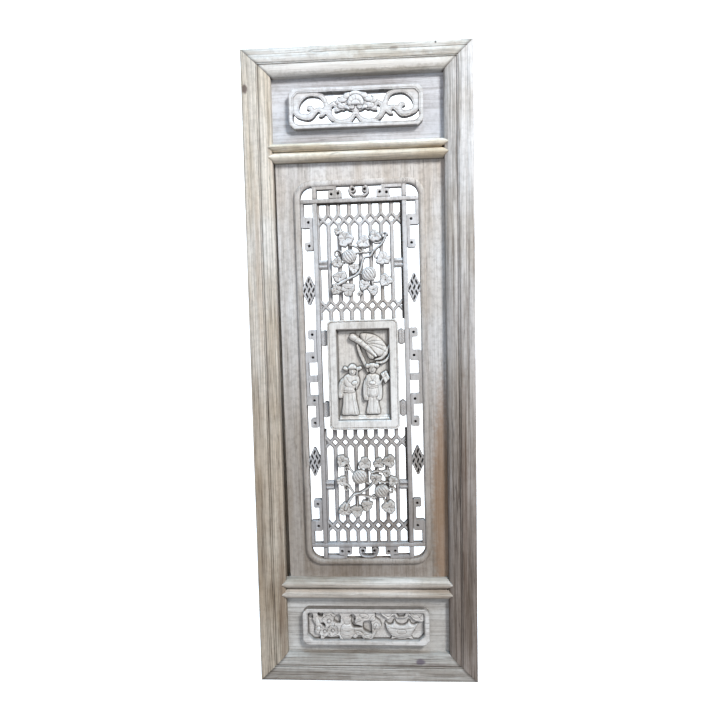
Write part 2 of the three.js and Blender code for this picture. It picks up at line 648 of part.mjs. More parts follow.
/** Pierced scroll plaque of the top field, alike left and right of a lotus. */
function scrollPlaque() {
  const size = [TOP_PLAQUE_WIDTH, TOP_PLAQUE_HEIGHT];
  const face = PLAQUE_FRONT - SCROLL_SINK;
  const back = face - SCROLL_THICKNESS;
  const boss = { low: back, edge: face + BOSS_RISE / 4, crest: face + BOSS_RISE };
  const rim = plaqueRim(...size, TOP_PLAQUE_RIM, TOP_PLAQUE_RIM, 0);
  const holes = Object.values(SCROLL_OPENINGS).map((outline) => plate(outline, 0, FRAME_DEPTH));
  const arch = plate([[-10, -31], [10, -31], [0, -18]], 0, FRAME_DEPTH);
  const petals = joined([
    oval(27, 16, 12, 7, boss, -0.4),
    oval(29, 3, 9, 7, boss),
    oval(15, 25, 12, 6, boss, -0.3),
    oval(9, 1, 6, 6, boss),
  ]);
  const lotus = joined([oval(0, 26, 14, 6, boss), oval(0, 11, 15, 11, boss, 0, 10)]);
  const openings = fitted(joined([...both(joined(holes)), arch]), ...size, SCROLL_DRAWN);
  const flower = fitted(joined([...both(petals), lotus]), ...size, SCROLL_DRAWN);
  const panel = plaqueInside(...size, back, face);
  return rim.add(panel).subtract(openings).add(flower);
}

/** Raised shapes of the relief plaque: the branch, vase and ribbon mass with its deep eyes. */
const RELIEF_DRAWN = [281, 83];
const RELIEF_MASS = [
  [-121, 33], [-117, 12], [-112, 0], [-113, -16], [-102, -22], [-101, -34], [-96, -34], [-90, -24],
  [-80, -27],
  [-70, -26], [-61, -24], [-56, -35], [-34, -35], [-33, -26], [-24, -29], [-14, -21], [-6, -30], [10, -32],
  [18, -24], [24, -12], [33, 0], [31, 11], [20, 20], [8, 33],
];
const RELIEF_EYES = [
  [[-107, 30], [-96, 30], [-97, 21], [-105, 21]],
  [[-68, 22], [-63, 25], [-58, 22], [-57, 8], [-64, 6], [-72, 12]],
  [[-35, 20], [-31, 25], [-26, 22], [-24, 6], [-10, 0], [-10, -3], [-28, -3], [-33, 8]],
  [[-6, 8], [2, 12], [11, 10], [13, -16], [4, -15], [-6, -8]],
  [[-101, 6], [-92, 7], [-90, -2], [-96, 0]],
];
const BOWL = [
  [42, 10], [50, 4], [58, 5], [63, 14], [68, 6], [79, 2], [90, 6], [95, 14], [100, 6], [106, 4], [115, 7],
  [108, -6], [102, -18], [92, -25], [62, -25], [52, -16], [45, -4],
];
const BOWL_STAND = [[52, -35], [56, -24], [100, -24], [108, -35]];
const BOWL_KNOT = [
  [37, 33], [44, 18], [52, 15], [60, 24], [70, 18], [88, 18], [96, 24], [108, 13], [126, 11], [128, 33],
];

/** Relief plaque of the bottom field: a vase among branches, and a bowl on its stand. */
function vesselPlaque() {
  const size = [BOTTOM_PLAQUE_WIDTH, BOTTOM_PLAQUE_HEIGHT];
  const low = BOTTOM_PLAQUE_GROUND - 2;
  const face = PLAQUE_FRONT - RELIEF_SINK;
  const boss = { low, edge: face + 0.5, crest: face + 3 };
  const rim = plaqueRim(...size, BOTTOM_PLAQUE_RIM, BOTTOM_PLAQUE_TOP_RIM, BOTTOM_PLAQUE_GROUND);
  const deep = (outline) => plate(outline, BOTTOM_PLAQUE_GROUND, FRAME_DEPTH);
  const knot = plate(BOWL_KNOT, low, face - 1).subtract(deep([[68, 30], [88, 30], [84, 21], [72, 21]]));
  const carving = joined([
    cut(plate(RELIEF_MASS, low, face), RELIEF_EYES.map(deep)),
    plate(BOWL, low, face + 1),
    plate(BOWL_STAND, low, face - 2),
    knot,
    oval(-84, 14, 10, 8, boss),
    oval(-112, 16, 7, 12, boss),
    oval(-82, -12, 14, 8, boss),
    oval(-45, -8, 11, 12, boss, 0, 8),
    oval(-44, 18, 9, 7, boss),
    oval(-16, 18, 9, 7, boss),
    oval(22, 4, 7, 9, boss),
    oval(-18, -16, 10, 6, boss),
    oval(112, 20, 10, 6, boss),
  ]).translate([0, RELIEF_RISE, 0]);
  return rim.add(fitted(carving, ...size, RELIEF_DRAWN).intersect(plaqueInside(...size, 0, FRAME_DEPTH)));
}

/** The figure panel: a bordered tray with two robed figures under a bird and a plantain leaf. */
const PICTURE_DRAWN = [114, 197];
function picturePanel() {
  const outline = roundedBox(pictureHalfX, pictureHalfY, PICTURE_CORNER, 3);
  const body = plate(outline, LATTICE_BACK, PICTURE_FRONT);
  const innerX = pictureHalfX - PICTURE_BORDER_X;
  const innerY = pictureHalfY - PICTURE_BORDER_Y;
  const tray = block(-innerX, innerX, -innerY, innerY, PICTURE_GROUND, FRAME_DEPTH);
  const rise = PICTURE_FRONT - PICTURE_GROUND;
  const low = PICTURE_GROUND - 1;
  const heights = { low, edge: low + rise * 0.55, crest: low + rise * 0.8 };
  const raised = { low, edge: low + rise * 0.7, crest: low + rise * 0.95 };
  const band = (route, width, more) => ribbon(route, { width, ...heights, ...more });
  const scholar = [
    oval(-20, 10, 9, 10, raised),
    oval(-20, 18, 10, 6, raised),
    band([[-39, 17], [-30, 19], [-22, 16]], 4, { steps: 1, start: 0.6 }),
    oval(-41, -6, 10, 11, raised),
    band([[-22, 2], [-32, -8], [-34, -24], [-30, -34]], 24, { steps: 3, start: 0.5, end: 0.7 }),
    band([[-54, -4], [-50, -22], [-48, -36]], 10, { steps: 2, start: 0.6 }),
    band([[-34, -30], [-34, -52], [-32, -82]], 26, { steps: 2, start: 0.8, end: 1.15 }),
    band([[-24, -40], [-20, -62], [-13, -84]], 7, { steps: 2 }),
  ];
  const attendant = [
    oval(20, 13, 10, 11, raised, 0, 8),
    band([[20, 4], [20, -10], [20, -30]], 32, { steps: 2, start: 0.8, end: 0.8 }),
    band([[7, -12], [4, -30], [4, -48]], 9, { steps: 1, end: 1.2 }),
    band([[33, -8], [35, -30], [34, -56]], 9, { steps: 1, end: 1.1 }),
    band([[18, -28], [19, -50], [20, -76]], 22, { steps: 2, start: 0.8, end: 1.05 }),
    plate([[32, -2], [44, 12], [58, 2], [58, -14], [46, -22]], low, heights.edge),
  ];
  const bird = [
    oval(-17, 80, 9, 9, raised),
    band([[-20, 76], [-6, 68], [8, 58], [24, 44], [34, 34]], 18, { steps: 3, start: 0.7, end: 0.6 }),
    plate([[0, 72], [12, 84], [30, 83], [44, 70], [50, 54], [50, 40], [30, 38]], low, heights.edge),
    band([[28, 30], [42, 38], [52, 52]], 6, { steps: 2 }),
    band([[32, 22], [46, 30], [57, 46]], 6, { steps: 2 }),
    band([[-7, 58], [0, 36], [12, 8]], 9, { steps: 2 }),
    band([[8, 44], [14, 34], [22, 22]], 18, { steps: 1 }),
  ];
  const scene = fitted(joined([...scholar, ...attendant, ...bird]), 2 * innerX, 2 * innerY, PICTURE_DRAWN);
  return body.subtract(tray).add(scene.intersect(tray.translate([0, 0, low - PICTURE_GROUND])));
}

/** A vine carving: stems, lobed leaves, tendril rings and two gourds. */
function vineCarving({ stems, leaves, curls, gourds }) {
  const low = lozengeFront + JOINT;
  const rise = APPLIQUE_FRONT - low;
  const heights = { low, edge: low + rise * 0.5, crest: low + rise * 0.8 };
  const stemHeights = { low, edge: low + rise * 0.45, crest: low + rise * 0.6 };
  const vine = joined([
    ...stems.map((route) => ribbon(
      route, { width: VINE_DRAWN.stem, ...stemHeights, steps: route.length - 1, section: pitched })),
    ...leaves.map((size) => leaf(size, heights)),
    ...curls.map((size) => tendrilRing(size, stemHeights)),
    ...gourds.map((size) => gourd(size, { low, edge: low + rise * 0.55, crest: APPLIQUE_FRONT })),
  ]);
  return fitted(vine, barInner + barOuter, 2 * fieldHalfY, VINE_DRAWN.size);
}

/** A small tendril ring. */
function tendrilRing([x, y, radius], { low, edge }) {
  return drill(x, y, radius, low, edge).subtract(drill(x, y, radius * 0.45, low - 1, edge + 1));
}

const VINE_DRAWN = { size: [190, 810], stem: 6.5 };
const UPPER_VINE = {
  stems: [
    [[-48, -44], [-33, -36], [-8, -24], [0, -12], [7, 10], [20, 13], [30, 26], [56, 58]],
    [[-31, 48], [-8, 34], [7, 22], [27, 24]],
    [[28, 22], [44, 6]],
    [[17, -24], [26, -40], [50, -38]],
    [[5, -24], [4, -44], [-4, -64]],
    [[-33, -36], [-28, -54]],
    [[-24, 10], [-40, 0], [-49, 12]],
    [[-48, -44], [-52, -54]],
    [[-31, 50], [-46, 66]],
    [[7, 22], [7, 42]],
    [[-6, -22], [17, -24]],
    [[-16, 20], [4, 18]],
  ],
  leaves: [
    [-31, 50, 17, 120], [7, 42, 14, 80], [32, 54, 13, 100], [47, 8, 15, -20], [-43, -30, 15, 170],
    [-49, 2, 12, 190], [-15, -14, 12, 30], [-52, -54, 13, 220], [-28, -54, 15, 270], [6, -46, 12, 250],
    [25, -57, 12, 280], [51, -38, 14, -10], [-46, 68, 9, 120],
  ],
  curls: [[-49, 20, 9], [52, 56, 7]],
  gourds: [[-24, 14, 17], [17, -24, 17]],
};
const LOWER_VINE = {
  stems: [
    [[-49, -50], [-41, -33], [-29, -18], [-4, -7], [16, 15]],
    [[-16, 21], [4, 6]],
    [[-52, 56], [-34, 34], [-20, 24]],
    [[-4, 49], [6, 36], [16, 20]],
    [[20, 18], [41, 31], [48, 50]],
    [[16, 15], [36, 8], [54, 10]],
    [[-54, 12], [-42, 2], [-29, -17]],
    [[-29, -19], [-14, -20], [14, -26], [31, -11]],
    [[31, -11], [36, -30], [46, -45]],
    [[-2, -41], [2, -24]],
    [[-24, -52], [-20, -20]],
    [[31, -11], [50, -10]],
    [[-44, 36], [-34, 32]],
  ],
  leaves: [
    [-52, 56, 14, 120], [-4, 50, 14, 90], [26, 50, 12, 80], [48, 54, 14, 60], [18, 16, 13, 20],
    [56, 11, 12, 0], [-54, 12, 12, 180], [-2, -42, 13, 260], [-49, -51, 15, 210],
    [-24, -54, 14, 270], [46, -46, 15, 300],
  ],
  curls: [[-45, -4, 8], [52, -11, 9], [-44, 38, 6]],
  gourds: [[-16, 21, 18], [31, -11, 17]],
};

const PALE = 0xd9d2c6;
const TAN = 0xcbb89a;
const LAVENDER = 0xc9c4c0;
const GREY_BROWN = 0xb8ab9a;

/** Wraps a solid as a named mesh in weathered wood of the given colour. */
function piece(name, solid, colour) {
  const material = new THREE.MeshStandardMaterial({ color: colour, roughness: 0.85, metalness: 0 });
  const mesh = new THREE.Mesh(geometryOf(solid), material);
  mesh.name = name;
  return mesh;
}

/** The frame, the fixed boards and the two plaques. */
function frameGroup() {
  const group = new THREE.Group();
  const topMiddle = (openTop + upperRailTop) / 2 + TOP_PLAQUE_RISE;
  const bottomMiddle = (openBottom + lowerRailBottom) / 2 + BOTTOM_PLAQUE_RISE;
  const behindPlaque = begoniaBox(
    TOP_PLAQUE_WIDTH / 2 - RIM_BEARING, TOP_PLAQUE_HEIGHT / 2 - RIM_BEARING, PLAQUE_CORNER);
  const cutOut = plate(behindPlaque, 0, FRAME_DEPTH).translate([TOP_PLAQUE_OFFSET, topMiddle, 0]);
  group.add(
    piece("stile_left", stile(-1), TAN),
    piece("stile_right", stile(1), TAN),
    piece("rail_top", endRail(TOP_RAIL_WIDTH, topEdge, 1), PALE),
    piece("rail_bottom", endRail(BOTTOM_RAIL_WIDTH, bottomEdge, -1), GREY_BROWN),
    piece("rail_mid_upper", midRail(upperRailTop, upperRailBottom, upperRolls), TAN),
    piece("rail_mid_lower", midRail(lowerRailTop, lowerRailBottom, lowerRolls), TAN),
    piece("board_top", fieldBoard(upperRailTop, openTop).subtract(cutOut), PALE),
    piece("board_bottom", fieldBoard(openBottom, lowerRailBottom), GREY_BROWN),
    piece("cartouche_top", scrollPlaque().translate([TOP_PLAQUE_OFFSET, topMiddle, 0]), LAVENDER),
    piece("cartouche_bottom", vesselPlaque().translate([BOTTOM_PLAQUE_OFFSET, bottomMiddle, 0]),
      GREY_BROWN),
  );
  return group;
}

/** The middle leaf, which hangs slightly askew in the frame. */
function leafGroup() {
  const group = new THREE.Group();
  group.position.set(PATTERN_OFFSET_X, leafMiddle, 0);
  group.rotation.z = LEAF_TILT;
  Object.entries(leafPlanks()).forEach(([name, solid]) => group.add(piece(name, solid, PALE)));
  const facings = { right: 0, top: 90, left: 180, bottom: 270 };
  Object.entries(facings).forEach(([side, facing]) => group.add(
    piece(`leaf_ring_${side}`, ringSide(facing), LAVENDER)));
  group.add(
    piece("bar_left", uprightBar(-1), LAVENDER),
    piece("bar_right", uprightBar(1), LAVENDER),
    piece("bar_upper", levelBar(1), LAVENDER),
    piece("bar_lower", levelBar(-1), LAVENDER),
    piece("lattice_upper", lozengeLattice(pictureHalfY + PICTURE_RISE), LAVENDER),
    piece("lattice_lower", lozengeLattice(pictureHalfY - PICTURE_RISE).mirror([0, 1, 0]), LAVENDER),
    piece("picture_panel", picturePanel().translate([0, PICTURE_RISE, 0]), LAVENDER),
    piece("applique_upper", vineCarving(UPPER_VINE).translate([0, appliqueMiddle, 0]), GREY_BROWN),
    piece("applique_lower", vineCarving(LOWER_VINE).translate([1, -appliqueMiddle, 0]), GREY_BROWN),
  );
  const sides = { right: 1, left: -1 };
  const ends = { upper: 1, lower: -1 };
  const quarters = {
    fret: [cornerFret, 0],
    knot: [channelKnot, 0],
    fret_end: [endFret, 0],
    cleat_bamboo: [bambooCleat, 0],
    cleat_leaf: [leafCleat, CLEAT_RISE],
  };
  Object.entries(sides).forEach(([side, sx]) => {
    const flipX = (solid) => (sx < 0 ? solid.mirror([1, 0, 0]) : solid);
    const middle = flipX(middleFret()).translate([0, -FRET_MIDDLE_DROP, 0]);
    group.add(piece(`fret_middle_${side}`, middle, LAVENDER));
    Object.entries(ends).forEach(([end, sy]) => {
      const flipY = (solid) => (sy < 0 ? solid.mirror([0, 1, 0]) : solid);
      Object.entries(quarters).forEach(([name, [make, rise]]) => group.add(
        piece(`${name}_${end}_${side}`, flipY(flipX(make())).translate([0, rise, 0]), LAVENDER)));
    });
  });
  group.add(
    piece("scroll_upper", endScroll(crossTop + JOINT, fieldHalfY - JOINT), LAVENDER),
    piece("scroll_lower", endScroll(JOINT - fieldHalfY, -crossTop - JOINT), LAVENDER),
  );
  return group;
}

const leafPart = new THREE.Group();
leafPart.rotation.x = Math.PI / 2;
leafPart.add(frameGroup(), leafGroup());

export default leafPart;
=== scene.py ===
"""Looks for the weathered fretwork leaf: worn wood, carving and plain studio light."""

import logging
import math
from dataclasses import dataclass, field
from enum import Enum
from typing import Callable, ClassVar, Iterable, Optional, Sequence

import bmesh
import bpy
import numpy as np
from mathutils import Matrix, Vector


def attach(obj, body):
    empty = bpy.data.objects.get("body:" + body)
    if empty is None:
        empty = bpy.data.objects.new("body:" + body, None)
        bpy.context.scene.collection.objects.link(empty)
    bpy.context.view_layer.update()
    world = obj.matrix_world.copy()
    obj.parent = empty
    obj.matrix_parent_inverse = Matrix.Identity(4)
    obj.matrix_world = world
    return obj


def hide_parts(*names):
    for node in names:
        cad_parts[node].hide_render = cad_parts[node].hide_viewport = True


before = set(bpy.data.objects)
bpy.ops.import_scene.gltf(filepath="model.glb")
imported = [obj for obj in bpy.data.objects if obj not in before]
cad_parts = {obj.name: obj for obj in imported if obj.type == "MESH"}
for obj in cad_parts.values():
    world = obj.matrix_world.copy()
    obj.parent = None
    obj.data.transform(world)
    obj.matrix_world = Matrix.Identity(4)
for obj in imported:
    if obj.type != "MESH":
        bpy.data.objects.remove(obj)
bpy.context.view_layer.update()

log = logging.getLogger("leaf")
MM = 0.001
ROOT = "root"
Point = tuple[float, float]
Route = Sequence[Point]
SoilingAndShade = Callable[[np.ndarray, np.ndarray, np.ndarray], np.ndarray]


class Grain(Enum):
    """Which way the wood's fibres run."""

    LEVEL = "level"
    UPRIGHT = "upright"


def linear(code: str) -> tuple[float, float, float, float]:
    """Turns a screen colour such as "c8b49a" into the shader's linear colour.

    Args:
        code: Six hexadecimal digits.

    Returns:
        Red, green, blue and alpha.
    """
    parts = [int(code[i:i + 2], 16) / 255 for i in (0, 2, 4)]
    red, green, blue = [c / 12.92 if c <= 0.04045 else ((c + 0.055) / 1.055) ** 2.4 for c in parts]
    return red, green, blue, 1.0


class Wire:
    """A shader output that can be used in arithmetic."""

    def __init__(self, tree: "Shader", socket: bpy.types.NodeSocket) -> None:
        """Keeps the output and the material it belongs to."""
        self.tree = tree
        self.socket = socket

    def _math(self, operation: str, *values: "Wire | float") -> "Wire":
        """Adds one Math node over the values."""
        return self.tree.node("ShaderNodeMath", {"operation": operation}, dict(enumerate(values)))

    def __add__(self, other: "Wire | float") -> "Wire":
        """Sum."""
        return self._math("ADD", self, other)

    __radd__ = __add__

    def __sub__(self, other: "Wire | float") -> "Wire":
        """Difference."""
        return self._math("SUBTRACT", self, other)

    def __rsub__(self, other: float) -> "Wire":
        """Difference from a number."""
        return self._math("SUBTRACT", other, self)

    def __mul__(self, other: "Wire | float") -> "Wire":
        """Product."""
        return self._math("MULTIPLY", self, other)

    __rmul__ = __mul__

    def __abs__(self) -> "Wire":
        """Size without sign."""
        return self._math("ABSOLUTE", self)

    def step(self, low: float, high: float) -> "Wire":
        """Rises smoothly from 0 at low to 1 at high."""
        settings = {"interpolation_type": "SMOOTHSTEP"}
        return self.tree.node("ShaderNodeMapRange", settings, {0: self, 1: low, 2: high})


class Shader:
    """A material whose nodes are written as Python expressions."""

    def __init__(self, name: str) -> None:
        """Starts an empty material with one surface shader.

        Args:
            name: The material's name.
        """
        self.material = bpy.data.materials.new(name)
        self.material.use_nodes = True
        self.nodes = self.material.node_tree.nodes
        self.links = self.material.node_tree.links
        self.surface = self.nodes["Principled BSDF"]

    def node(self, kind: str, settings: dict, inputs: dict, output: int = 0) -> Wire:
        """Adds a node.

        Args:
            kind: The node's type.
            settings: Properties that are set first.
            inputs: Values or wires by socket number or name.
            output: Which output is handed back.

        Returns:
            The chosen output.
        """
        node = self.nodes.new(kind)
        for key, value in settings.items():
            setattr(node, key, value)
        for key, value in inputs.items():
            self.plug(node.inputs[key], value)
        return Wire(self, node.outputs[output])

    def plug(self, socket: bpy.types.NodeSocket, value: "Wire | float | Sequence[float]") -> None:
        """Links a wire to a socket, or sets the socket's own value.

        Args:
            socket: The input that is fed.
            value: A wire, number, colour or vector.
        """
        if isinstance(value, Wire):
            self.links.new(value.socket, socket)
        else:
            socket.default_value = value

    def position(self, scale: Sequence[float], offset: Sequence[float] = (0, 0, 0)) -> Wire:
        """Object coordinates in metres, scaled and moved."""
        place = self.node("ShaderNodeTexCoord", {}, {}, output=3)
        return self.node("ShaderNodeMapping", {}, {"Vector": place, "Scale": scale, "Location": offset})

    def noise(self, vector: Wire, scale: float, detail: float = 2.0, rough: float = 0.5) -> Wire:
        """Soft noise between 0 and 1."""
        inputs = {"Vector": vector, "Scale": scale, "Detail": detail, "Roughness": rough}
        return self.node("ShaderNodeTexNoise", {}, inputs)

    def mix(self, amount: "Wire | float", first: "Wire | Sequence[float]",
            second: "Wire | Sequence[float]") -> Wire:
        """Mixes two colours."""
        return self.node("ShaderNodeMix", {"data_type": "RGBA"}, {0: amount, 6: first, 7: second}, output=2)

    def axis(self, vector: Wire, index: int) -> Wire:
        """One coordinate of a vector."""
        return self.node("ShaderNodeSeparateXYZ", {}, {0: vector}, output=index)


@dataclass(frozen=True)
class Spot:
    """A mark at a place on the front, in millimetres: knots, stains and holes, and also painted highlights
    and painted shadows.
    """

    x: float
    z: float
    across: float
    along: float
    strength: float
    colour: str = "5b4a45"


@dataclass(frozen=True)
class Figure:
    """One layer of the wood's figure: noise drawn out along the fibres."""

    along: float
    scale: float
    detail: float
    shift: float
    rough: float = 0.5

    def noise(self, shader: Shader, wood: "WeatheredWood") -> Wire:
        """The layer as soft noise between 0 and 1."""
        place = wood.stretched(shader, self.along, wood.seed + self.shift)
        return shader.noise(place, self.scale, self.detail, self.rough)

    def crossing(self, shader: Shader, wood: "WeatheredWood") -> Wire:
        """Distance from the layer's middle value, which runs through the wood as thin lines."""
        return abs(self.noise(shader, wood) - 0.5)


STREAK = Figure(along=0.05, scale=230.0, detail=4.0, shift=3, rough=0.62)
LINE = Figure(along=0.006, scale=380.0, detail=2.0, shift=23, rough=0.7)
BAND = Figure(along=0.09, scale=34.0, detail=3.0, shift=7, rough=0.55)
FIBRE = Figure(along=0.025, scale=620.0, detail=3.0, shift=0, rough=0.6)
VEIN = Figure(along=0.02, scale=120.0, detail=3.0, shift=17, rough=0.6)
GAP = Figure(along=0.03, scale=75.0, detail=2.0, shift=11)
WORN = Figure(along=0.2, scale=22.0, detail=2.0, shift=5)
CRACK_COLOUR = "2c231c"
# The dark brown of dirt and of painted shade.
DIRT_AND_SHADE_COLOUR = "33291f"
RELIEF_DEPTH = 1.1 * MM


@dataclass(frozen=True)
class WeatheredWood:
    """Bare bleached wood with streaks, stains and cracks, with dirt and painted shade in its recesses."""

    name: str
    grain: Grain
    pale: str
    warm: str
    low_pale: str
    low_warm: str
    dark: str = "54483c"
    streaks: float = 0.5
    stains: float = 0.6
    cracks: float = 0.5
    mottle: float = 0.14
    relief: float = 0.5
    grime_and_shade: float = 0.8
    seed: float = 0.0
    spots: tuple[Spot, ...] = ()

    def stretched(self, shader: Shader, along: float, seed: float) -> Wire:
        """Coordinates drawn out along the fibres.

        Args:
            shader: The material.
            along: Share of the length that is kept.
            seed: Moves the pattern.

        Returns:
            The drawn-out coordinates.
        """
        scale = (1.0, 1.0, along) if self.grain is Grain.UPRIGHT else (along, 1.0, 1.0)
        offset = (seed * 0.37, seed * 0.73, seed * 1.31)
        return shader.position(scale, offset)

    def spot_mask(self, shader: Shader, spot: Spot) -> Wire:
        """A ragged round mask for one spot.

        Args:
            shader: The material.
            spot: The spot.

        Returns:
            The knot's strength at each place.
        """
        centre = shader.position((1000 / spot.across, 0.0, 1000 / spot.along),
                                 (-spot.x / spot.across, 0.0, -spot.z / spot.along))
        reach = shader.node("ShaderNodeVectorMath", {"operation": "LENGTH"}, {0: centre}, output=1)
        ragged = reach + (shader.noise(shader.position((1, 1, 1)), 130.0) - 0.5) * 0.5
        return (1 - ragged.step(0.45, 1.0)) * spot.strength

    def build(self) -> bpy.types.Material:
        """Makes the material.

        Returns:
            A material that reads Object coordinates and the grime attribute.
        """
        shader = Shader(self.name)
        seed = self.seed
        drift = shader.noise(shader.position((1, 1, 1), (seed, seed, seed)), 5.0, 3.0)
        streak = STREAK.noise(shader, self).step(0.46, 0.66)
        line = LINE.noise(shader, self).step(0.52, 0.64)
        band = BAND.noise(shader, self).step(0.40, 0.66)
        fibre = FIBRE.noise(shader, self)
        vein = (1 - VEIN.crossing(shader, self).step(0.0, 0.035)) * band.step(-0.4, 0.9)
        worn = WORN.noise(shader, self).step(0.5, 0.62)
        crack = (1 - GAP.crossing(shader, self).step(0.0, 0.011)) * worn * self.cracks
        patch = shader.noise(shader.position((1, 1, 1), (seed, 0, seed + 2)), 85.0, 5.0, 0.68)
        patch = patch.step(0.44, 0.64)

        height = shader.axis(shader.position((1, 1, 1)), 2)
        lower = 1 - (height + (drift - 0.5) * 0.35).step(-1.2, -0.1)
        stain = (drift.step(0.40, 0.62) * 0.7 + band * 0.5) * self.stains
        upper_wood = shader.mix(stain, linear(self.pale), linear(self.warm))
        lower_wood = shader.mix(stain, linear(self.low_pale), linear(self.low_warm))
        colour = shader.mix(lower, upper_wood, lower_wood)
        strength = self.streaks * (lower * 0.35 + 0.65)
        colour = shader.mix((streak * 0.3 + line * 0.42 + band * 0.16) * strength, colour, linear(self.dark))
        colour = shader.mix(vein * strength * 0.6, colour, linear(self.dark))
        colour = shader.mix(fibre.step(0.50, 0.72) * 0.22, colour, linear(self.dark))
        colour = shader.mix(patch * self.mottle, colour, linear(self.dark))
        colour = shader.mix(crack * 0.9, colour, linear(CRACK_COLOUR))
        for spot in self.spots:
            colour = shader.mix(self.spot_mask(shader, spot), colour, linear(spot.colour))
        # Dirt and painted shade from the mesh attribute: recesses, creases, walls and undersides are darkened
        # where shade falls.
        dirt_and_shade = shader.node("ShaderNodeAttribute", {"attribute_name": "grime_and_shade"}, {}, output=2)
        colour = shader.mix(dirt_and_shade * self.grime_and_shade, colour, linear(DIRT_AND_SHADE_COLOUR))

        shader.plug(shader.surface.inputs["Base Color"], colour)
        shader.plug(shader.surface.inputs["Roughness"], 0.72 + streak * 0.16)
        shader.surface.inputs["Specular IOR Level"].default_value = 0.25
        ridge = fibre * 0.5 + streak * -0.3 + line * -0.5 + vein * -0.5 + crack * -1.6
        inputs = {"Strength": self.relief, "Distance": RELIEF_DEPTH, "Height": ridge}
        bump = shader.node("ShaderNodeBump", {}, inputs)
        shader.plug(shader.surface.inputs["Normal"], bump)
        return shader.material


class Finish(Enum):
    """The woods of the leaf."""

    LEFT_STILE = "left_stile"
    RIGHT_STILE = "right_stile"
    RAIL = "rail"
    MIDDLE_RAIL = "middle_rail"
    BOARD = "board"
    LEAF_BOARD = "leaf_board"
    CARVING = "carving"
    PANEL = "panel"
    LATTICE = "lattice"


Woods = dict[Finish, bpy.types.Material]
WOODS = {
    Finish.LEFT_STILE: WeatheredWood(
        "left_stile_wood", Grain.UPRIGHT, "f4f2ee", "d9c8ae", "cfc4b4", "9a8062", seed=1.0, streaks=0.95,
        spots=(Spot(-232, -53, 7, 13, 0.85), Spot(-187, -1130, 9, 330, 0.4, "6e5848"),
               Spot(-214, -420, 9, 240, 0.2, "b08a60"))),
    Finish.RIGHT_STILE: WeatheredWood(
        "right_stile_wood", Grain.UPRIGHT, "e4e3e3", "c0b6aa", "a0968f", "6e6056", seed=2.5, streaks=1.1,
        spots=(Spot(214, -900, 9, 330, 0.3, "6e5646"),)),
    Finish.RAIL: WeatheredWood(
        "rail_wood", Grain.LEVEL, "e6e5e2", "c8bfae", "cdcac5", "988e83", seed=4.0, streaks=0.75,
        spots=(Spot(78, 15, 12, 6, 0.4), Spot(115, -1289, 13, 8, 0.75, "55485a"),
               Spot(152, -1296, 34, 4, 0.4), Spot(163, 23, 2.6, 2.6, 0.9, "2c231c"),
               # Painted highlight: the last spot is a wide pale band across the lower face of the top rail.
               Spot(0, -12, 300, 13, 0.6, "fffefc"))),
    Finish.MIDDLE_RAIL: WeatheredWood(
        "middle_rail_wood", Grain.LEVEL, "f6f3ea", "cfb994", "dad3cb", "9e8d78", seed=7.0, streaks=0.7,
        spots=(Spot(177, -181, 3, 3, 0.9, "2c231c"), Spot(177, -1128, 3, 3, 0.9, "2c231c"))),
    Finish.BOARD: WeatheredWood(
        "field_board_wood", Grain.LEVEL, "e2e5ec", "b3adad", "e0e1e0", "bab2a8", seed=9.0, streaks=0.5),
    Finish.LEAF_BOARD: WeatheredWood(
        "leaf_board_wood", Grain.UPRIGHT, "f0f1f3", "cdc3b8", "bcb5af", "93877a", seed=12.0, streaks=0.4,
        stains=0.7, mottle=0.2,
        # Painted shadow: the second spot darkens the board just below the lattice border.
        spots=(Spot(172, -930, 32, 340, 0.6, "94704e"), Spot(0, -1092, 190, 20, 0.35, "6b5f55"))),
    Finish.CARVING: WeatheredWood(
        "carved_wood", Grain.LEVEL, "ececee", "cbc6bf", "eceae8", "b5aca1", seed=15.0, streaks=0.3,
        relief=0.3, mottle=0.2),
    Finish.PANEL: WeatheredWood(
        "panel_wood", Grain.UPRIGHT, "f4f3f1", "d6d1c9", "efedea", "c9c1b7", seed=21.0, streaks=0.25,
        relief=0.3, mottle=0.2),
    Finish.LATTICE: WeatheredWood(
        "lattice_wood", Grain.UPRIGHT, "e4e4e7", "bfb8b0", "b9b8ba", "938980", seed=18.0, streaks=0.35,
        relief=0.3, grime_and_shade=0.92, mottle=0.2),
}


@dataclass(frozen=True)
class PlainSurface:
    """A pale matt studio surface."""

    name: str
    colour: str
    glow: float

    def build(self) -> bpy.types.Material:
        """Makes the material.

        Returns:
            A glowing matt material.
        """
        shader = Shader(self.name)
        tone = shader.noise(shader.position((1, 1, 1)), 2.0)
        shader.plug(shader.surface.inputs["Base Color"],
                    shader.mix(tone * 0.1, linear(self.colour), linear("ffffff")))
        shader.surface.inputs["Roughness"].default_value = 0.9
        shader.surface.inputs["Emission Color"].default_value = (1, 1, 1, 1)
        shader.surface.inputs["Emission Strength"].default_value = self.glow
        return shader.material


def deselect() -> None:
    """Leaves edit mode and selects nothing."""
    active = bpy.context.view_layer.objects.active
    if active is not None and active.mode != "OBJECT":
        bpy.ops.object.mode_set(mode="OBJECT")
    bpy.ops.object.select_all(action="DESELECT")


def activate(piece: bpy.types.Object) -> None:
    """Selects one piece and makes it active.

    Args:
        piece: The piece.
    """
    deselect()
    piece.select_set(True)
    bpy.context.view_layer.objects.active = piece


def modify(piece: bpy.types.Object, kind: str, **settings: object) -> None:
    """Adds a modifier, sets it and applies it.

    Args:
        piece: The piece that it shapes.
        kind: The modifier's type.
        **settings: Its properties.
    """
    activate(piece)
    modifier = piece.modifiers.new(kind.title(), kind)
    for key, value in settings.items():
        setattr(modifier, key, value)
    bpy.ops.object.modifier_apply(modifier=modifier.name)


TURNED_EDGE, FLAT_EDGE, PLANED_EDGE, CARVED_EDGE = 40.0, 34.0, 32.0, 50.0


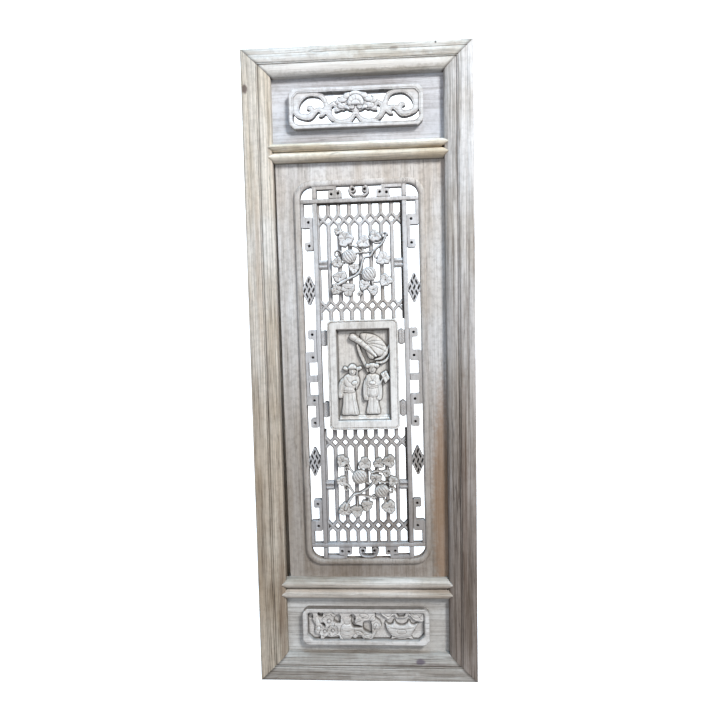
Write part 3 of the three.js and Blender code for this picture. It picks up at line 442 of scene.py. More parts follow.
def smooth(piece: bpy.types.Object, degrees: float) -> None:
    """Shades gentle edges smooth and keeps sharp ones."""
    activate(piece)
    bpy.ops.object.shade_smooth_by_angle(angle=math.radians(degrees))


def join(pieces: Sequence[bpy.types.Object], name: str) -> bpy.types.Object:
    """Joins pieces into the first one.

    Args:
        pieces: The pieces.
        name: The joined piece's name.

    Returns:
        The joined piece.
    """
    deselect()
    for piece in pieces:
        piece.select_set(True)
    bpy.context.view_layer.objects.active = pieces[0]
    bpy.ops.object.join()
    pieces[0].name = name
    return pieces[0]


def sweep(name: str, rings: Sequence[np.ndarray]) -> bpy.types.Object:
    """Extrudes a closed outline through a run of stations.

    Args:
        name: The new piece's name.
        rings: Arrays of points in metres, alike in length and order.

    Returns:
        A closed mesh object at the origin.
    """
    deselect()
    bpy.ops.mesh.primitive_circle_add(vertices=len(rings[0]), radius=0.01, fill_type="NGON")
    piece = bpy.context.active_object
    piece.name = name
    bpy.ops.object.mode_set(mode="EDIT")
    bpy.ops.mesh.select_mode(type="FACE")
    bpy.ops.mesh.select_all(action="SELECT")
    mesh = bmesh.from_edit_mesh(piece.data)
    face = next(iter(mesh.faces))
    for vertex, point in zip(face.verts, rings[0]):
        vertex.co = point
    for before, ring in zip(rings, rings[1:]):
        bpy.ops.mesh.extrude_region_move()
        mesh = bmesh.from_edit_mesh(piece.data)
        face = next(f for f in mesh.faces if f.select)
        for vertex in face.verts:
            nearest = int(((before - np.array(vertex.co)) ** 2).sum(axis=1).argmin())
            vertex.co = ring[nearest]
    bmesh.update_edit_mesh(piece.data)
    bpy.ops.mesh.select_all(action="SELECT")
    bpy.ops.mesh.normals_make_consistent(inside=False)
    bpy.ops.object.mode_set(mode="OBJECT")
    return piece


def worn_copy(node: str, bevel: float, fine: float = 0.0) -> bpy.types.Object:
    """Copies a CAD node's shape and rounds its edges.

    Args:
        node: The node that is copied and hidden.
        bevel: Width of the rounded edges in millimetres.
        fine: Voxel size in millimetres for a softly carved form, or 0 to keep flat faces.

    Returns:
        The new piece.
    """
    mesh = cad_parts[node].data.copy()
    mesh.materials.clear()
    piece = bpy.data.objects.new(f"worn_{node}", mesh)
    bpy.context.scene.collection.objects.link(piece)
    activate(piece)
    bpy.ops.object.mode_set(mode="EDIT")
    bpy.ops.mesh.select_all(action="SELECT")
    bpy.ops.mesh.remove_doubles(threshold=2e-6)
    bpy.ops.mesh.dissolve_limited(angle_limit=math.radians(1.0))
    bpy.ops.object.mode_set(mode="OBJECT")
    if fine:
        modify(piece, "REMESH", mode="VOXEL", voxel_size=fine * MM)
        modify(piece, "SMOOTH", iterations=3, factor=0.5)
    else:
        modify(piece, "BEVEL", width=bevel * MM, segments=2, limit_method="ANGLE",
               angle_limit=math.radians(28), use_clamp_overlap=True)
    return piece


# Share of the painted shade taken off faces that look up, since light from above falls on them.
TOP_LIGHT = 0.9


def soil_and_shade(piece: bpy.types.Object, amount: SoilingAndShade) -> None:
    """Stores how dark a piece is painted for dirt and shade; faces that look up, lit from above, keep little
    painted shade.

    Args:
        piece: The mesh that gets the attribute of dirt and painted shade.
        amount: Dirt and painted shade from 0 to 1 at the x, t and z of each corner, in millimetres.
    """
    mesh = piece.data
    co = np.empty(len(mesh.vertices) * 3)
    mesh.vertices.foreach_get("co", co)
    x, y, z = co.reshape(-1, 3).T / MM
    normal = np.empty(len(mesh.vertices) * 3)
    mesh.vertices.foreach_get("normal", normal)
    # Painted light: faces that look up keep little of the dark marks, as if lit from above.
    shaded_share = 1 - TOP_LIGHT * np.clip(normal[2::3] * 1.6 - 0.3, 0, 1)
    layer = mesh.attributes.get("grime_and_shade") or mesh.attributes.new("grime_and_shade", "FLOAT", "POINT")
    layer.data.foreach_set("value", np.clip(amount(x, -y, z) * shaded_share, 0, 1).astype(np.float32))


class Dressed:
    """What every sub-assembly shares: it builds its pieces and dresses them."""

    finish: ClassVar[Finish] = Finish.LATTICE
    slot: ClassVar[str] = "lattice_wood"

    def wood_of(self, node: str) -> Finish:
        """Which wood a node's piece is made of."""
        return self.finish

    def dress(self, piece: bpy.types.Object, node: str, woods: Woods) -> None:
        """Gives a piece its wood, hangs it under the root body and hides the CAD node that it stands for.

        Args:
            piece: The finished mesh.
            node: The CAD node that it replaces.
            woods: The materials.
        """
        piece.data.materials.clear()
        piece.data.materials.append(woods[self.wood_of(node)])
        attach(piece, ROOT)
        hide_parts(node)
        log.info("%s: %d faces", piece.name, len(piece.data.polygons))

    def make(self, woods: Woods, node: str = "") -> None:
        """Builds every piece and dresses it.

        Args:
            woods: The materials.
            node: The CAD node, where the sub-assembly is one piece.
        """
        built = self.build()
        for name, piece in (built if isinstance(built, dict) else {node: built}).items():
            self.dress(piece, name, woods)


@dataclass(frozen=True)
class Seat:
    """Where a drawing (x right, y up, t forward, in millimetres) sits on the leaf."""

    x: float
    z: float
    turn: float = 0.0

    def world(self, x: np.ndarray, y: np.ndarray, t: np.ndarray) -> np.ndarray:
        """Places points of the drawing in the leaf's frame, in metres.

        Args:
            x: To the right.
            y: Up.
            t: Forward of the back plane.

        Returns:
            An array of points.
        """
        angle = math.radians(self.turn)
        across = self.x + x * math.cos(angle) - y * math.sin(angle)
        up = self.z + x * math.sin(angle) + y * math.cos(angle)
        return np.stack([across, -t, up], axis=-1) * MM

    def on(self, x: float, y: float) -> "Seat":
        """A seat at a point of this one."""
        place = self.world(np.array(x), np.array(y), np.array(0.0)) / MM
        return Seat(float(place[0]), float(place[2]), self.turn)


LEAF_SEAT = Seat(2.5, -657.0, 0.4)


FLOW_STEPS = 6


def flow(route: Route, closed: bool = False) -> np.ndarray:
    """A smooth line through the points of a route.

    Args:
        route: The points.
        closed: Whether it ends where it starts.

    Returns:
        The line's points.
    """
    points = np.array(route, float)
    if len(points) < 3 and not closed:
        return points
    if closed:
        padded = np.vstack([points[-1:], points, points[:2]])
    else:
        padded = np.vstack([2 * points[0] - points[1], points, 2 * points[-1] - points[-2]])
    t = np.linspace(0, 1, FLOW_STEPS, endpoint=False)[:, None]
    runs = []
    for a, b, c, d in zip(padded, padded[1:], padded[2:], padded[3:]):
        runs.append(0.5 * (2 * b + (c - a) * t + (2 * a - 5 * b + 4 * c - d) * t ** 2
                           + (3 * b - a - 3 * c + d) * t ** 3))
    if not closed:
        runs.append(points[-1:])
    return np.vstack(runs)


def ease(value: np.ndarray, low: float, high: float) -> np.ndarray:
    """Rises smoothly from 0 at low to 1 at high."""
    t = np.clip((value - low) / (high - low), 0, 1)
    return t * t * (3 - 2 * t)


def blur(grid: np.ndarray, radius: int) -> np.ndarray:
    """Averages a grid over a square, twice.

    Args:
        grid: The values.
        radius: Half the square's side, in grid steps.

    Returns:
        The averaged grid.
    """
    size = 2 * radius + 1
    for axis in (0, 1, 0, 1):
        pad = [(radius + 1, radius) if a == axis else (0, 0) for a in (0, 1)]
        total = np.cumsum(np.pad(grid, pad, mode="edge"), axis=axis)
        high = np.take(total, range(size, total.shape[axis]), axis=axis)
        low = np.take(total, range(0, total.shape[axis] - size), axis=axis)
        grid = (high - low) / size
    return grid


def pick_open_edges(mode: str) -> None:
    """Selects, as points or edges, the rims of the mesh that is being edited.

    Args:
        mode: "VERT" or "EDGE".
    """
    bpy.ops.mesh.select_mode(type=mode)
    bpy.ops.mesh.select_all(action="DESELECT")
    bpy.ops.mesh.select_non_manifold(extend=False, use_wire=False, use_multi_face=False,
                                     use_non_contiguous=False, use_verts=False)


@dataclass(frozen=True)
class CarvingDirtAndShade:
    """How dark the parts of a carving are painted for dirt and shade, from 0 to 1, and what counts as each,
    in millimetres.
    """

    hollow: float = 0.45
    crease: float = 0.7
    wall: float = 0.5
    rim: float = 0.35
    side: float = 0.9
    back: float = 0.25
    hollow_reach: float = 2.4
    hollow_depth: float = 3.0
    crease_depth: float = 0.7
    wall_slope: tuple[float, float] = (0.9, 2.2)
    rim_width: tuple[float, float] = (0.3, 1.6)


DIRT_AND_SHADE = CarvingDirtAndShade()
BACK_EDGE = 1.2


class Carving:
    """A carved face drawn as heights over a grid, in millimetres."""

    def __init__(self, half_width: float, half_height: float, step: float, ground: float,
                 backed: bool) -> None:
        """Starts with bare ground.

        Args:
            half_width: Half the width that is drawn.
            half_height: Half the height that is drawn.
            step: Distance between grid points.
            ground: Height of the ground, forward of the back plane.
            backed: Whether the ground is wood, or open where nothing is carved.
        """
        self.step = step
        self.columns = int(round(2 * half_width / step)) + 1
        self.rows = int(round(2 * half_height / step)) + 1
        xs = (np.arange(self.columns) - (self.columns - 1) / 2) * step
        ys = (np.arange(self.rows) - (self.rows - 1) / 2) * step
        self.x, self.y = np.meshgrid(xs, ys)
        self.height = np.full(self.x.shape, float(ground))
        self.solid = np.full(self.x.shape, 1e3 if backed else -1e3)
        # Extra painted shade, such as shadow bands that bars cast, added to the dark marks.
        self.dirt_and_shade = np.zeros(self.x.shape)

    def oval(self, cx: float, cy: float, rx: float, ry: float, turn: float = 0.0) -> np.ndarray:
        """How far inside an oval each point is.

        Args:
            cx, cy: Middle.
            rx, ry: Its half axes.
            turn: Its lean in degrees.

        Returns:
            Millimetres, below 0 outside.
        """
        angle = math.radians(turn)
        dx, dy = self.x - cx, self.y - cy
        u = (dx * math.cos(angle) + dy * math.sin(angle)) / rx
        v = (dy * math.cos(angle) - dx * math.sin(angle)) / ry
        return (1 - np.hypot(u, v)) * min(rx, ry)

    def polar(self, cx: float, cy: float, turn: float, radius: Callable[[np.ndarray], np.ndarray]
              ) -> tuple[np.ndarray, np.ndarray, np.ndarray]:
        """How far inside a lobed outline each point is, with its distance and angle.

        Args:
            cx, cy: Middle.
            turn: Its lean in degrees.
            radius: Its reach at an angle.

        Returns:
            The depth inside, the distance from the middle and the angle.
        """
        dx, dy = self.x - cx, self.y - cy
        angle = np.arctan2(dy, dx) - math.radians(turn)
        reach = np.hypot(dx, dy)
        return radius(angle) - reach, reach, angle

    def line(self, route: Route, widths: Sequence[float] = (1.0,), smooth_line: bool = True
             ) -> tuple[np.ndarray, np.ndarray]:
        """Distance to a line, and the line's half width beside each point.

        Args:
            route: Points that the line follows.
            widths: Full widths, spread evenly from its start to its end.
            smooth_line: Whether the line is curved between its points.

        Returns:
            The distance and the half width at the nearest point.
        """
        points = flow(route) if smooth_line else np.array(route, float)
        lengths = np.concatenate([[0], np.cumsum(np.hypot(*np.diff(points, axis=0).T))])
        shares = lengths / lengths[-1]
        spread = np.interp(shares, np.linspace(0, 1, len(widths)), widths) / 2
        best = np.full(self.x.shape, 1e6)
        half = np.zeros(self.x.shape)
        for (p, q), (w0, w1) in zip(zip(points, points[1:]), zip(spread, spread[1:])):
            run = q - p
            t = ((self.x - p[0]) * run[0] + (self.y - p[1]) * run[1]) / max(run @ run, 1e-9)
            t = np.clip(t, 0, 1)
            distance = np.hypot(self.x - p[0] - t * run[0], self.y - p[1] - t * run[1])
            width = w0 + (w1 - w0) * t
            nearer = distance - width < best - half
            best = np.where(nearer, distance, best)
            half = np.where(nearer, width, half)
        return best, half

    def area(self, outline: Route, curved: bool = False) -> np.ndarray:
        """How far inside a closed outline each point is.

        Args:
            outline: Its corners.
            curved: Whether it runs smoothly through them.

        Returns:
            Millimetres, below 0 outside.
        """
        points = flow(outline, closed=True) if curved else np.array(outline, float)
        best = np.full(self.x.shape, 1e6)
        inside = np.zeros(self.x.shape, bool)
        for p, q in zip(points, np.roll(points, -1, axis=0)):
            run = q - p
            t = np.clip(((self.x - p[0]) * run[0] + (self.y - p[1]) * run[1]) / max(run @ run, 1e-9), 0, 1)
            best = np.minimum(best, np.hypot(self.x - p[0] - t * run[0], self.y - p[1] - t * run[1]))
            crosses = (p[1] > self.y) != (q[1] > self.y)
            if crosses.any():
                edge_x = p[0] + (self.y - p[1]) * run[0] / (run[1] if abs(run[1]) > 1e-9 else 1e-9)
                inside ^= crosses & (self.x < edge_x)
        return np.where(inside, best, -best)

    def add(self, inside: np.ndarray, height: "np.ndarray | float", trench: float = 0.0) -> None:
        """Puts a form on the carving.

        Args:
            inside: How far inside the form each point is.
            height: The form's surface.
            trench: Depth of the line cut round it in what lies below.
        """
        self.height -= trench * np.exp(-((inside + 0.7) / 0.7) ** 2) * (inside < 0)
        self.height = np.where(inside > 0, np.maximum(self.height, height), self.height)
        self.solid = np.maximum(self.solid, inside)

    def mound(self, inside: np.ndarray, edge: float, crest: float, reach: float, trench: float = 0.8) -> None:
        """A form that is low at its rim and swells to its crest within a reach."""
        swell = np.sqrt(np.clip(1 - (1 - np.clip(inside / reach, 0, 1)) ** 2, 0, 1))
        self.add(inside, edge + (crest - edge) * swell, trench)

    def band(self, route: Route, widths: Sequence[float], edge: float, crest: float,
             trench: float = 0.8) -> None:
        """A rounded band along a route.

        Args:
            route: Its middle line.
            widths: Full widths from start to end.
            edge: Height of its rims.
            crest: Height of its middle.
            trench: Depth of the line cut round it.
        """
        distance, half = self.line(route, widths)
        share = np.clip(distance / np.maximum(half, 1e-6), 0, 1)
        self.add(half - distance, edge + (crest - edge) * np.sqrt(1 - share ** 2), trench)

    def groove(self, route: Route, width: float, depth: float, within: Optional[np.ndarray] = None,
               smooth_line: bool = True) -> None:
        """A cut line along a route, kept inside a form if one is given.

        Args:
            route: Where it runs.
            width: Half its width.
            depth: Its depth.
            within: The form.
            smooth_line: Whether it is curved.
        """
        distance, _ = self.line(route, (1.0,), smooth_line)
        cut = depth * np.exp(-(distance / width) ** 2)
        self.height -= cut if within is None else cut * ease(within, 0.0, 0.8)

    def pierce(self, inside: np.ndarray) -> None:
        """Opens the wood right through."""
        self.solid = np.minimum(self.solid, -inside)

    def soften(self, amount: float) -> None:
        """Wears the edges beside every opening."""
        self.height -= amount * (1 - ease(self.solid, 0.0, amount * 1.6)) * (self.solid > -self.step)

    def build(self, name: str, seat: Seat, low: float, floor: float) -> bpy.types.Object:
        """Makes the closed mesh.

        Args:
            name: The piece's name.
            seat: Where it sits.
            low: Height of its back, forward of the back plane.
            floor: Lowest height that counts for the dirt and painted shade.

        Returns:
            The carved piece at the origin.
        """
        grime_and_shade = self.grime_and_shade(floor)
        snapped = self.snapped()

        deselect()
        bpy.ops.mesh.primitive_grid_add(x_subdivisions=self.columns - 1, y_subdivisions=self.rows - 1, size=2)
        piece = bpy.context.active_object
        piece.name = name
        mesh = piece.data
        co = np.empty(len(mesh.vertices) * 3)
        mesh.vertices.foreach_get("co", co)
        co = co.reshape(-1, 3)
        column = np.rint((co[:, 0] + 1) / 2 * (self.columns - 1)).astype(int)
        row = np.rint((co[:, 1] + 1) / 2 * (self.rows - 1)).astype(int)
        places = np.stack([self.x, self.y, self.height], axis=-1)[row, column]
        mesh.vertices.foreach_set("co", places.ravel())
        layers = {"grime_and_shade": grime_and_shade, "edge_x": snapped[..., 0], "edge_y": snapped[..., 1]}
        for key, values in layers.items():
            layer = mesh.attributes.new(key, "FLOAT", "POINT")
            layer.data.foreach_set("value", values[row, column].astype(np.float32))

        keep = self.solid[row, column] > -0.45 * self.step
        faces = np.empty(len(mesh.polygons) * 4, int)
        mesh.polygons.foreach_get("vertices", faces)
        drop = ~keep[faces.reshape(-1, 4)].all(axis=1)
        mesh.polygons.foreach_set("select", drop)
        bpy.context.tool_settings.mesh_select_mode = (False, False, True)
        bpy.ops.object.mode_set(mode="EDIT")
        if drop.any():
            bpy.ops.mesh.delete(type="FACE")
        self.close(mesh, low)
        bpy.ops.object.mode_set(mode="OBJECT")

        for key in ("edge_x", "edge_y"):
            mesh.attributes.remove(mesh.attributes[key])
        co = np.empty(len(mesh.vertices) * 3)
        mesh.vertices.foreach_get("co", co)
        x, y, t = co.reshape(-1, 3).T
        # The dark marks read back here are dirt and painted shade: the carving's sides are painted dark as
        # shade, its back a little less.
        worn = np.empty(len(t), np.float32)
        mesh.attributes["grime_and_shade"].data.foreach_get("value", worn)
        worn = np.where(t < low + BACK_EDGE + 0.1, DIRT_AND_SHADE.side, worn)
        worn = np.where(t < low + 0.1, DIRT_AND_SHADE.back, worn)
        mesh.attributes["grime_and_shade"].data.foreach_set("value", worn.astype(np.float32))
        mesh.vertices.foreach_set("co", seat.world(x, y, t).ravel())
        mesh.update()
        smooth(piece, CARVED_EDGE)
        return piece

    def grime_and_shade(self, floor: float) -> np.ndarray:
        """Dirt and painted shade at each grid point: in hollows and creases, on steep walls and along the
        rims.

        Args:
            floor: Height that an opening counts as.

        Returns:
            Dirt and painted shade from 0 to 1.
        """
        weights = np.clip(self.solid / self.step + 1, 0, 1)
        ground = np.where(weights > 0, self.height, floor)
        reach = max(1, round(DIRT_AND_SHADE.hollow_reach / self.step))
        deep = np.clip((blur(ground, reach) - self.height) / DIRT_AND_SHADE.hollow_depth, 0, 1)
        crease = np.clip((blur(ground, 1) - self.height) / DIRT_AND_SHADE.crease_depth, 0, 1)
        rise_y, rise_x = np.gradient(ground, self.step)
        gentle, steep = DIRT_AND_SHADE.wall_slope
        wall = np.clip((np.hypot(rise_x, rise_y) - gentle) / steep, 0, 1)
        rim = 1 - ease(self.solid, *DIRT_AND_SHADE.rim_width)
        return np.clip(DIRT_AND_SHADE.hollow * deep + DIRT_AND_SHADE.crease * crease + DIRT_AND_SHADE.wall * wall + DIRT_AND_SHADE.rim * rim
                       + self.dirt_and_shade, 0, 1)

    def snapped(self) -> np.ndarray:
        """Where each grid point goes if it lies beside an edge, so that edges run smooth.

        Returns:
            The moved x and y of every point.
        """
        slope_y, slope_x = np.gradient(self.solid, self.step)
        steep = np.maximum(np.hypot(slope_x, slope_y), 0.3)
        shift = np.clip(self.solid / steep, -self.step, self.step)
        return np.stack([self.x - shift * slope_x / steep, self.y - shift * slope_y / steep], axis=-1)

    @staticmethod
    def close(mesh: bpy.types.Mesh, low: float) -> None:
        """Smooths the rims of the open carved face, gives it sides and closes its back.

        Args:
            mesh: The face, in edit mode.
            low: Height of the back.
        """
        pick_open_edges("VERT")
        shaped = bmesh.from_edit_mesh(mesh)
        layer_x, layer_y = (shaped.verts.layers.float[key] for key in ("edge_x", "edge_y"))
        for vertex in shaped.verts:
            if vertex.select:
                vertex.co.x, vertex.co.y = vertex[layer_x], vertex[layer_y]
        bmesh.update_edit_mesh(mesh)
        pick_open_edges("EDGE")
        for depth in (low + BACK_EDGE, low):
            bpy.ops.mesh.extrude_edges_move()
            shaped = bmesh.from_edit_mesh(mesh)
            for vertex in shaped.verts:
                if vertex.select:
                    vertex.co.z = depth
            bmesh.update_edit_mesh(mesh)
        bpy.ops.mesh.fill(use_beauty=False)
        bpy.ops.mesh.select_all(action="SELECT")
        bpy.ops.mesh.normals_make_consistent(inside=False)


def stepped_box(half_x: float, half_y: float, notch: float) -> list[Point]:
    """A rectangle whose corners are stepped in like a begonia panel's.

    Args:
        half_x: Half its width.
        half_y: Half its height.
        notch: Reach of the stepped corner.

    Returns:
        Its corners in order.
    """
    steps = [(0, 1), (0.42, 0.8), (0.55, 0.55), (0.8, 0.42), (1, 0)]
    points: list[Point] = []
    for sx, sy in ((1, 1), (-1, 1), (-1, -1), (1, -1)):
        corner = [(sx * (half_x - notch * (1 - a)), sy * (half_y - notch * (1 - b))) for a, b in steps]
        points += corner[::-1] if sx * sy > 0 else corner
    return points


@dataclass(frozen=True)
class Moulding:
    """Section of the outer frame: flat band, sunk bead and a broad convex face."""

    width: float = 60.0
    depth: float = 45.0
    band: float = 31.0
    bead: float = 4.5
    sink: float = 1.6
    drop: float = 12.0
    groove_front: float = 22.3
    groove_back: float = 7.7
    groove_depth: float = 9.0

    def section(self) -> np.ndarray:
        """Points (u inward from the outer edge, t forward) round the member.

        Returns:
            The section's points in order.
        """
        start = self.band + self.bead
        angles = np.radians(np.linspace(84, 0, 12))
        rise = self.drop - self.sink * 0.3
        face = [(start + (self.width - start) * math.cos(a), self.depth - self.drop + rise * math.sin(a))
                for a in angles]
        front = [
            (0, 0), (0, self.depth - 3.4), (0.5, self.depth - 1.6), (1.5, self.depth - 0.5),
            (3.2, self.depth), (13.0, self.depth), (13.8, self.depth - 0.5), (14.6, self.depth - 0.1),
            (self.band - 1.0, self.depth), (self.band, self.depth - 0.5),
            (self.band + 0.8, self.depth - self.sink * 1.3),
            (self.band + 1.5, self.depth - self.sink * 0.4),
            (self.band + 2.3, self.depth - self.sink * 0.15),
            (self.band + 3.1, self.depth - self.sink * 0.5),
            (self.band + 3.8, self.depth - self.sink * 1.4),
        ]
        back = [
            (self.width, self.groove_front), (self.width - self.groove_depth, self.groove_front),
            (self.width - self.groove_depth, self.groove_back), (self.width, self.groove_back),
            (self.width, 0),
        ]
        return np.array(front + face + back)


@dataclass
class OuterFrame(Dressed):
    """Two stiles and two rails, mitred at the corners."""

    finish: ClassVar[Finish] = Finish.RAIL
    slot: ClassVar[str] = "frame_wood"
    half_width: float = 240.0
    top: float = 28.0
    bottom: float = -1334.0
    top_rail: float = 56.0
    bottom_rail: float = 59.0
    stations: int = 60
    mitre_gap: float = 0.35
    wear: float = 0.10
    sway: float = 0.35
    moulding: Moulding = field(default_factory=Moulding)
    lip: tuple[Point, Point] = ((-183.0, -168.0), (-1104.0, -204.0))
    lip_depth: float = 7.0

    def member(self, name: str, start: Callable[[float], Point], end: Callable[[float], Point],
               scale: float, seed: float) -> bpy.types.Object:
        """One member between two mitres.

        Args:
            name: The piece's name.
            start: Place (x, z) of a section point u at one mitre.
            end: The same at the other mitre.
            scale: The member's width as a share of the moulding's.
            seed: Sets how its face wanders.

        Returns:
            The worn member, darkened with dirt and painted shade.
        """
        section = self.moulding.section()
        rng = np.random.default_rng(int(seed * 10))
        worn = rng.normal(size=(self.stations + 1, len(section))) * self.wear
        sway = np.sin(np.linspace(0, 7 + seed, self.stations + 1)) * self.sway
        rings = []
        shares = np.linspace(0, 1, self.stations - 1)
        shares = np.sort(np.concatenate([shares, [0.0012, 0.9988]]))
        for i, share in enumerate(shares):
            points = []
            for j, (u, t) in enumerate(section):
                a, b = np.array(start(u * scale)), np.array(end(u * scale))
                x, z = a + (b - a) * share
                face = 1.0 if 4 < u < self.moulding.width - 1 and t > self.moulding.groove_front + 1 else 0.0
                points.append((x, -(t - face * abs(worn[i, j] + sway[i] * 0.6)), z))
            rings.append(np.array(points) * MM)
        piece = sweep(name, rings)
        smooth(piece, PLANED_EDGE)
        self.soil_and_shade_member(piece)
        return piece

    def soil_and_shade_member(self, piece: bpy.types.Object) -> None:
        """Dirt and painted shade in the grooves beside the bead, dark mitre joints, and painted shade under
        the inner edge.

        Args:
            piece: The member.
        """
        def amount(x: np.ndarray, t: np.ndarray, z: np.ndarray) -> np.ndarray:
            """Dirt and painted shade at each corner.

            Args:
                x: To the right.
                t: Forward of the back plane.
                z: Up.

            Returns:
                Dirt and painted shade from 0 to 1.
            """
            side = self.half_width - np.abs(x)
            up = (self.top - z) * self.moulding.width / self.top_rail
            down = (z - self.bottom) * self.moulding.width / self.bottom_rail
            end = np.minimum(up, down)
            u = np.minimum(side, end)
            past_band = u - self.moulding.band
            groove = (np.abs(past_band - 0.8) < 0.5) | (np.abs(past_band - 3.8) < 0.5)
            ridge = np.abs(u - 13.8) < 0.3
            mitre = np.abs(side - end) < 1.0
            under = (u > self.moulding.width - 0.5) & (t > self.moulding.groove_front - 1)
            # Grooves and ridge get dirt and painted shade, mitres dark joints, the inner edge's underside
            # painted shade.
            return groove * 0.85 + ridge * 0.35 + mitre * 0.75 + under * 0.3
        soil_and_shade(piece, amount)

    def build(self) -> dict[str, bpy.types.Object]:
        """Makes the four members.

        Returns:
            Each member by its node.
        """
        width = self.moulding.width
        shares = {"top": self.top_rail / width, "bottom": self.bottom_rail / width}
        pieces = {}
        for name, side, seed in (("stile_left", -1, 1.3), ("stile_right", 1, 2.1)):
            pieces[name] = self.member(
                f"worn_{name}",
                lambda u, s=side: (s * (self.half_width - u), self.bottom + u * shares["bottom"]),
                lambda u, s=side: (s * (self.half_width - u), self.top - u * shares["top"]), 1.0, seed)
        for name, edge, up, share, seed in (
                ("rail_top", self.top, -1, shares["top"], 3.4),
                ("rail_bottom", self.bottom, 1, shares["bottom"], 4.2)):
            pieces[name] = self.member(
                f"worn_{name}",
                lambda u, e=edge, d=up, s=share: (-self.rail_reach(u, s), e + d * u),
                lambda u, e=edge, d=up, s=share: (self.rail_reach(u, s), e + d * u), share, seed)
        pieces["stile_left"] = join([pieces["stile_left"], self.rebate()], "worn_stile_left")
        return pieces

    def wood_of(self, node: str) -> Finish:
        """The stiles are each of their own wood."""
        return {"stile_left": Finish.LEFT_STILE, "stile_right": Finish.RIGHT_STILE}.get(node, self.finish)

    def rail_reach(self, u: float, share: float) -> float:
        """Half a rail's length at a section point u."""
        return self.half_width - u / share - self.mitre_gap

    def rebate(self) -> bpy.types.Object:
        """The lip behind the leaf's loose left edge, part of the left stile.

        Returns:
            The lip as its own mesh.
        """
        (left, right), (low, high) = self.lip
        front, back = -self.lip_depth, -0.2
        ring = np.array([(left, back, low), (right, back, low), (right, front, low), (left, front, low)])
        return sweep("rebate", [ring * MM, (ring + (0, 0, high - low)) * MM])


@dataclass
class DoubleRoll(Dressed):
    """A rail across the frame with two half-round rolls whose ends are pointed."""

    finish: ClassVar[Finish] = Finish.MIDDLE_RAIL
    slot: ClassVar[str] = "rail_wood"
    name: str
    top: float
    bottom: float
    share: float
    open_half: float = 180.0
    seat: float = 28.0
    crest: float = 43.0
    point: float = 8.0
    valley: float = 3.0
    seed: float = 1.0

    def roll(self, low: float, high: float, seed: float) -> bpy.types.Object:
        """One roll between two heights.

        Args:
            low: Its lower edge.
            high: Its upper edge.
            seed: Sets its wear.

        Returns:
            The roll.
        """
        half = (high - low) / 2 - 0.25
        middle = (low + high) / 2
        tip, full = self.open_half + self.point - 0.4, self.open_half - self.valley
        xs = np.concatenate([[-tip], np.linspace(-full, full, 50), [tip]])
        across = np.cos(np.radians(np.linspace(180, 0, 15)))
        rng = np.random.default_rng(int(seed))
        wander = np.cumsum(rng.normal(size=len(xs))) * 0.05
        rings = []
        for x, shift in zip(xs, wander - wander.mean()):
            reach = max(0.02, min(1.0, (tip - abs(x)) / (tip - full)))
            v = across * reach
            rise = (self.crest - self.seat) * np.sqrt(np.clip(1 - v ** 2, 0, 1)) - abs(shift) * 0.5
            rise[[0, -1]] = 0
            front = [(x, -(self.seat + max(r, 0.0)), middle + half * s) for r, s in zip(rise, v)]
            back = [(x, -(self.seat - 2), middle + half * v[-1]), (x, -(self.seat - 2), middle + half * v[0])]
            rings.append(np.array(front + back) * MM)
        return sweep("roll", rings)

    def build(self) -> bpy.types.Object:
        """Makes the rail with both rolls.

        Returns:
            The rail.
        """
        split = self.top + (self.bottom - self.top) * self.share
        core = worn_copy(self.name, 0.4)
        activate(core)
        bpy.ops.object.mode_set(mode="EDIT")
        bpy.ops.mesh.select_all(action="SELECT")
        bpy.ops.mesh.bisect(plane_co=(0, -(self.seat - 0.6) * MM, 0), plane_no=(0, -1, 0), use_fill=True,
                            clear_outer=True)
        bpy.ops.object.mode_set(mode="OBJECT")
        rolls = [self.roll(split, self.top, self.seed), self.roll(self.bottom, split, self.seed + 5)]
        rail = join([core, *rolls], f"worn_{self.name}")
        smooth(rail, TURNED_EDGE)
        # Dirt and painted shade: darker low on the rolls where they sit on the rail, and in the valley
        # between them.
        soil_and_shade(rail, lambda x, t, z: (t > 20) * np.minimum(
            0.8 * (self.seat + 4 - t) / 4 + 0.25 * (np.abs(z - split - 5) < 6) * (t < 38), 1.0))
        return rail


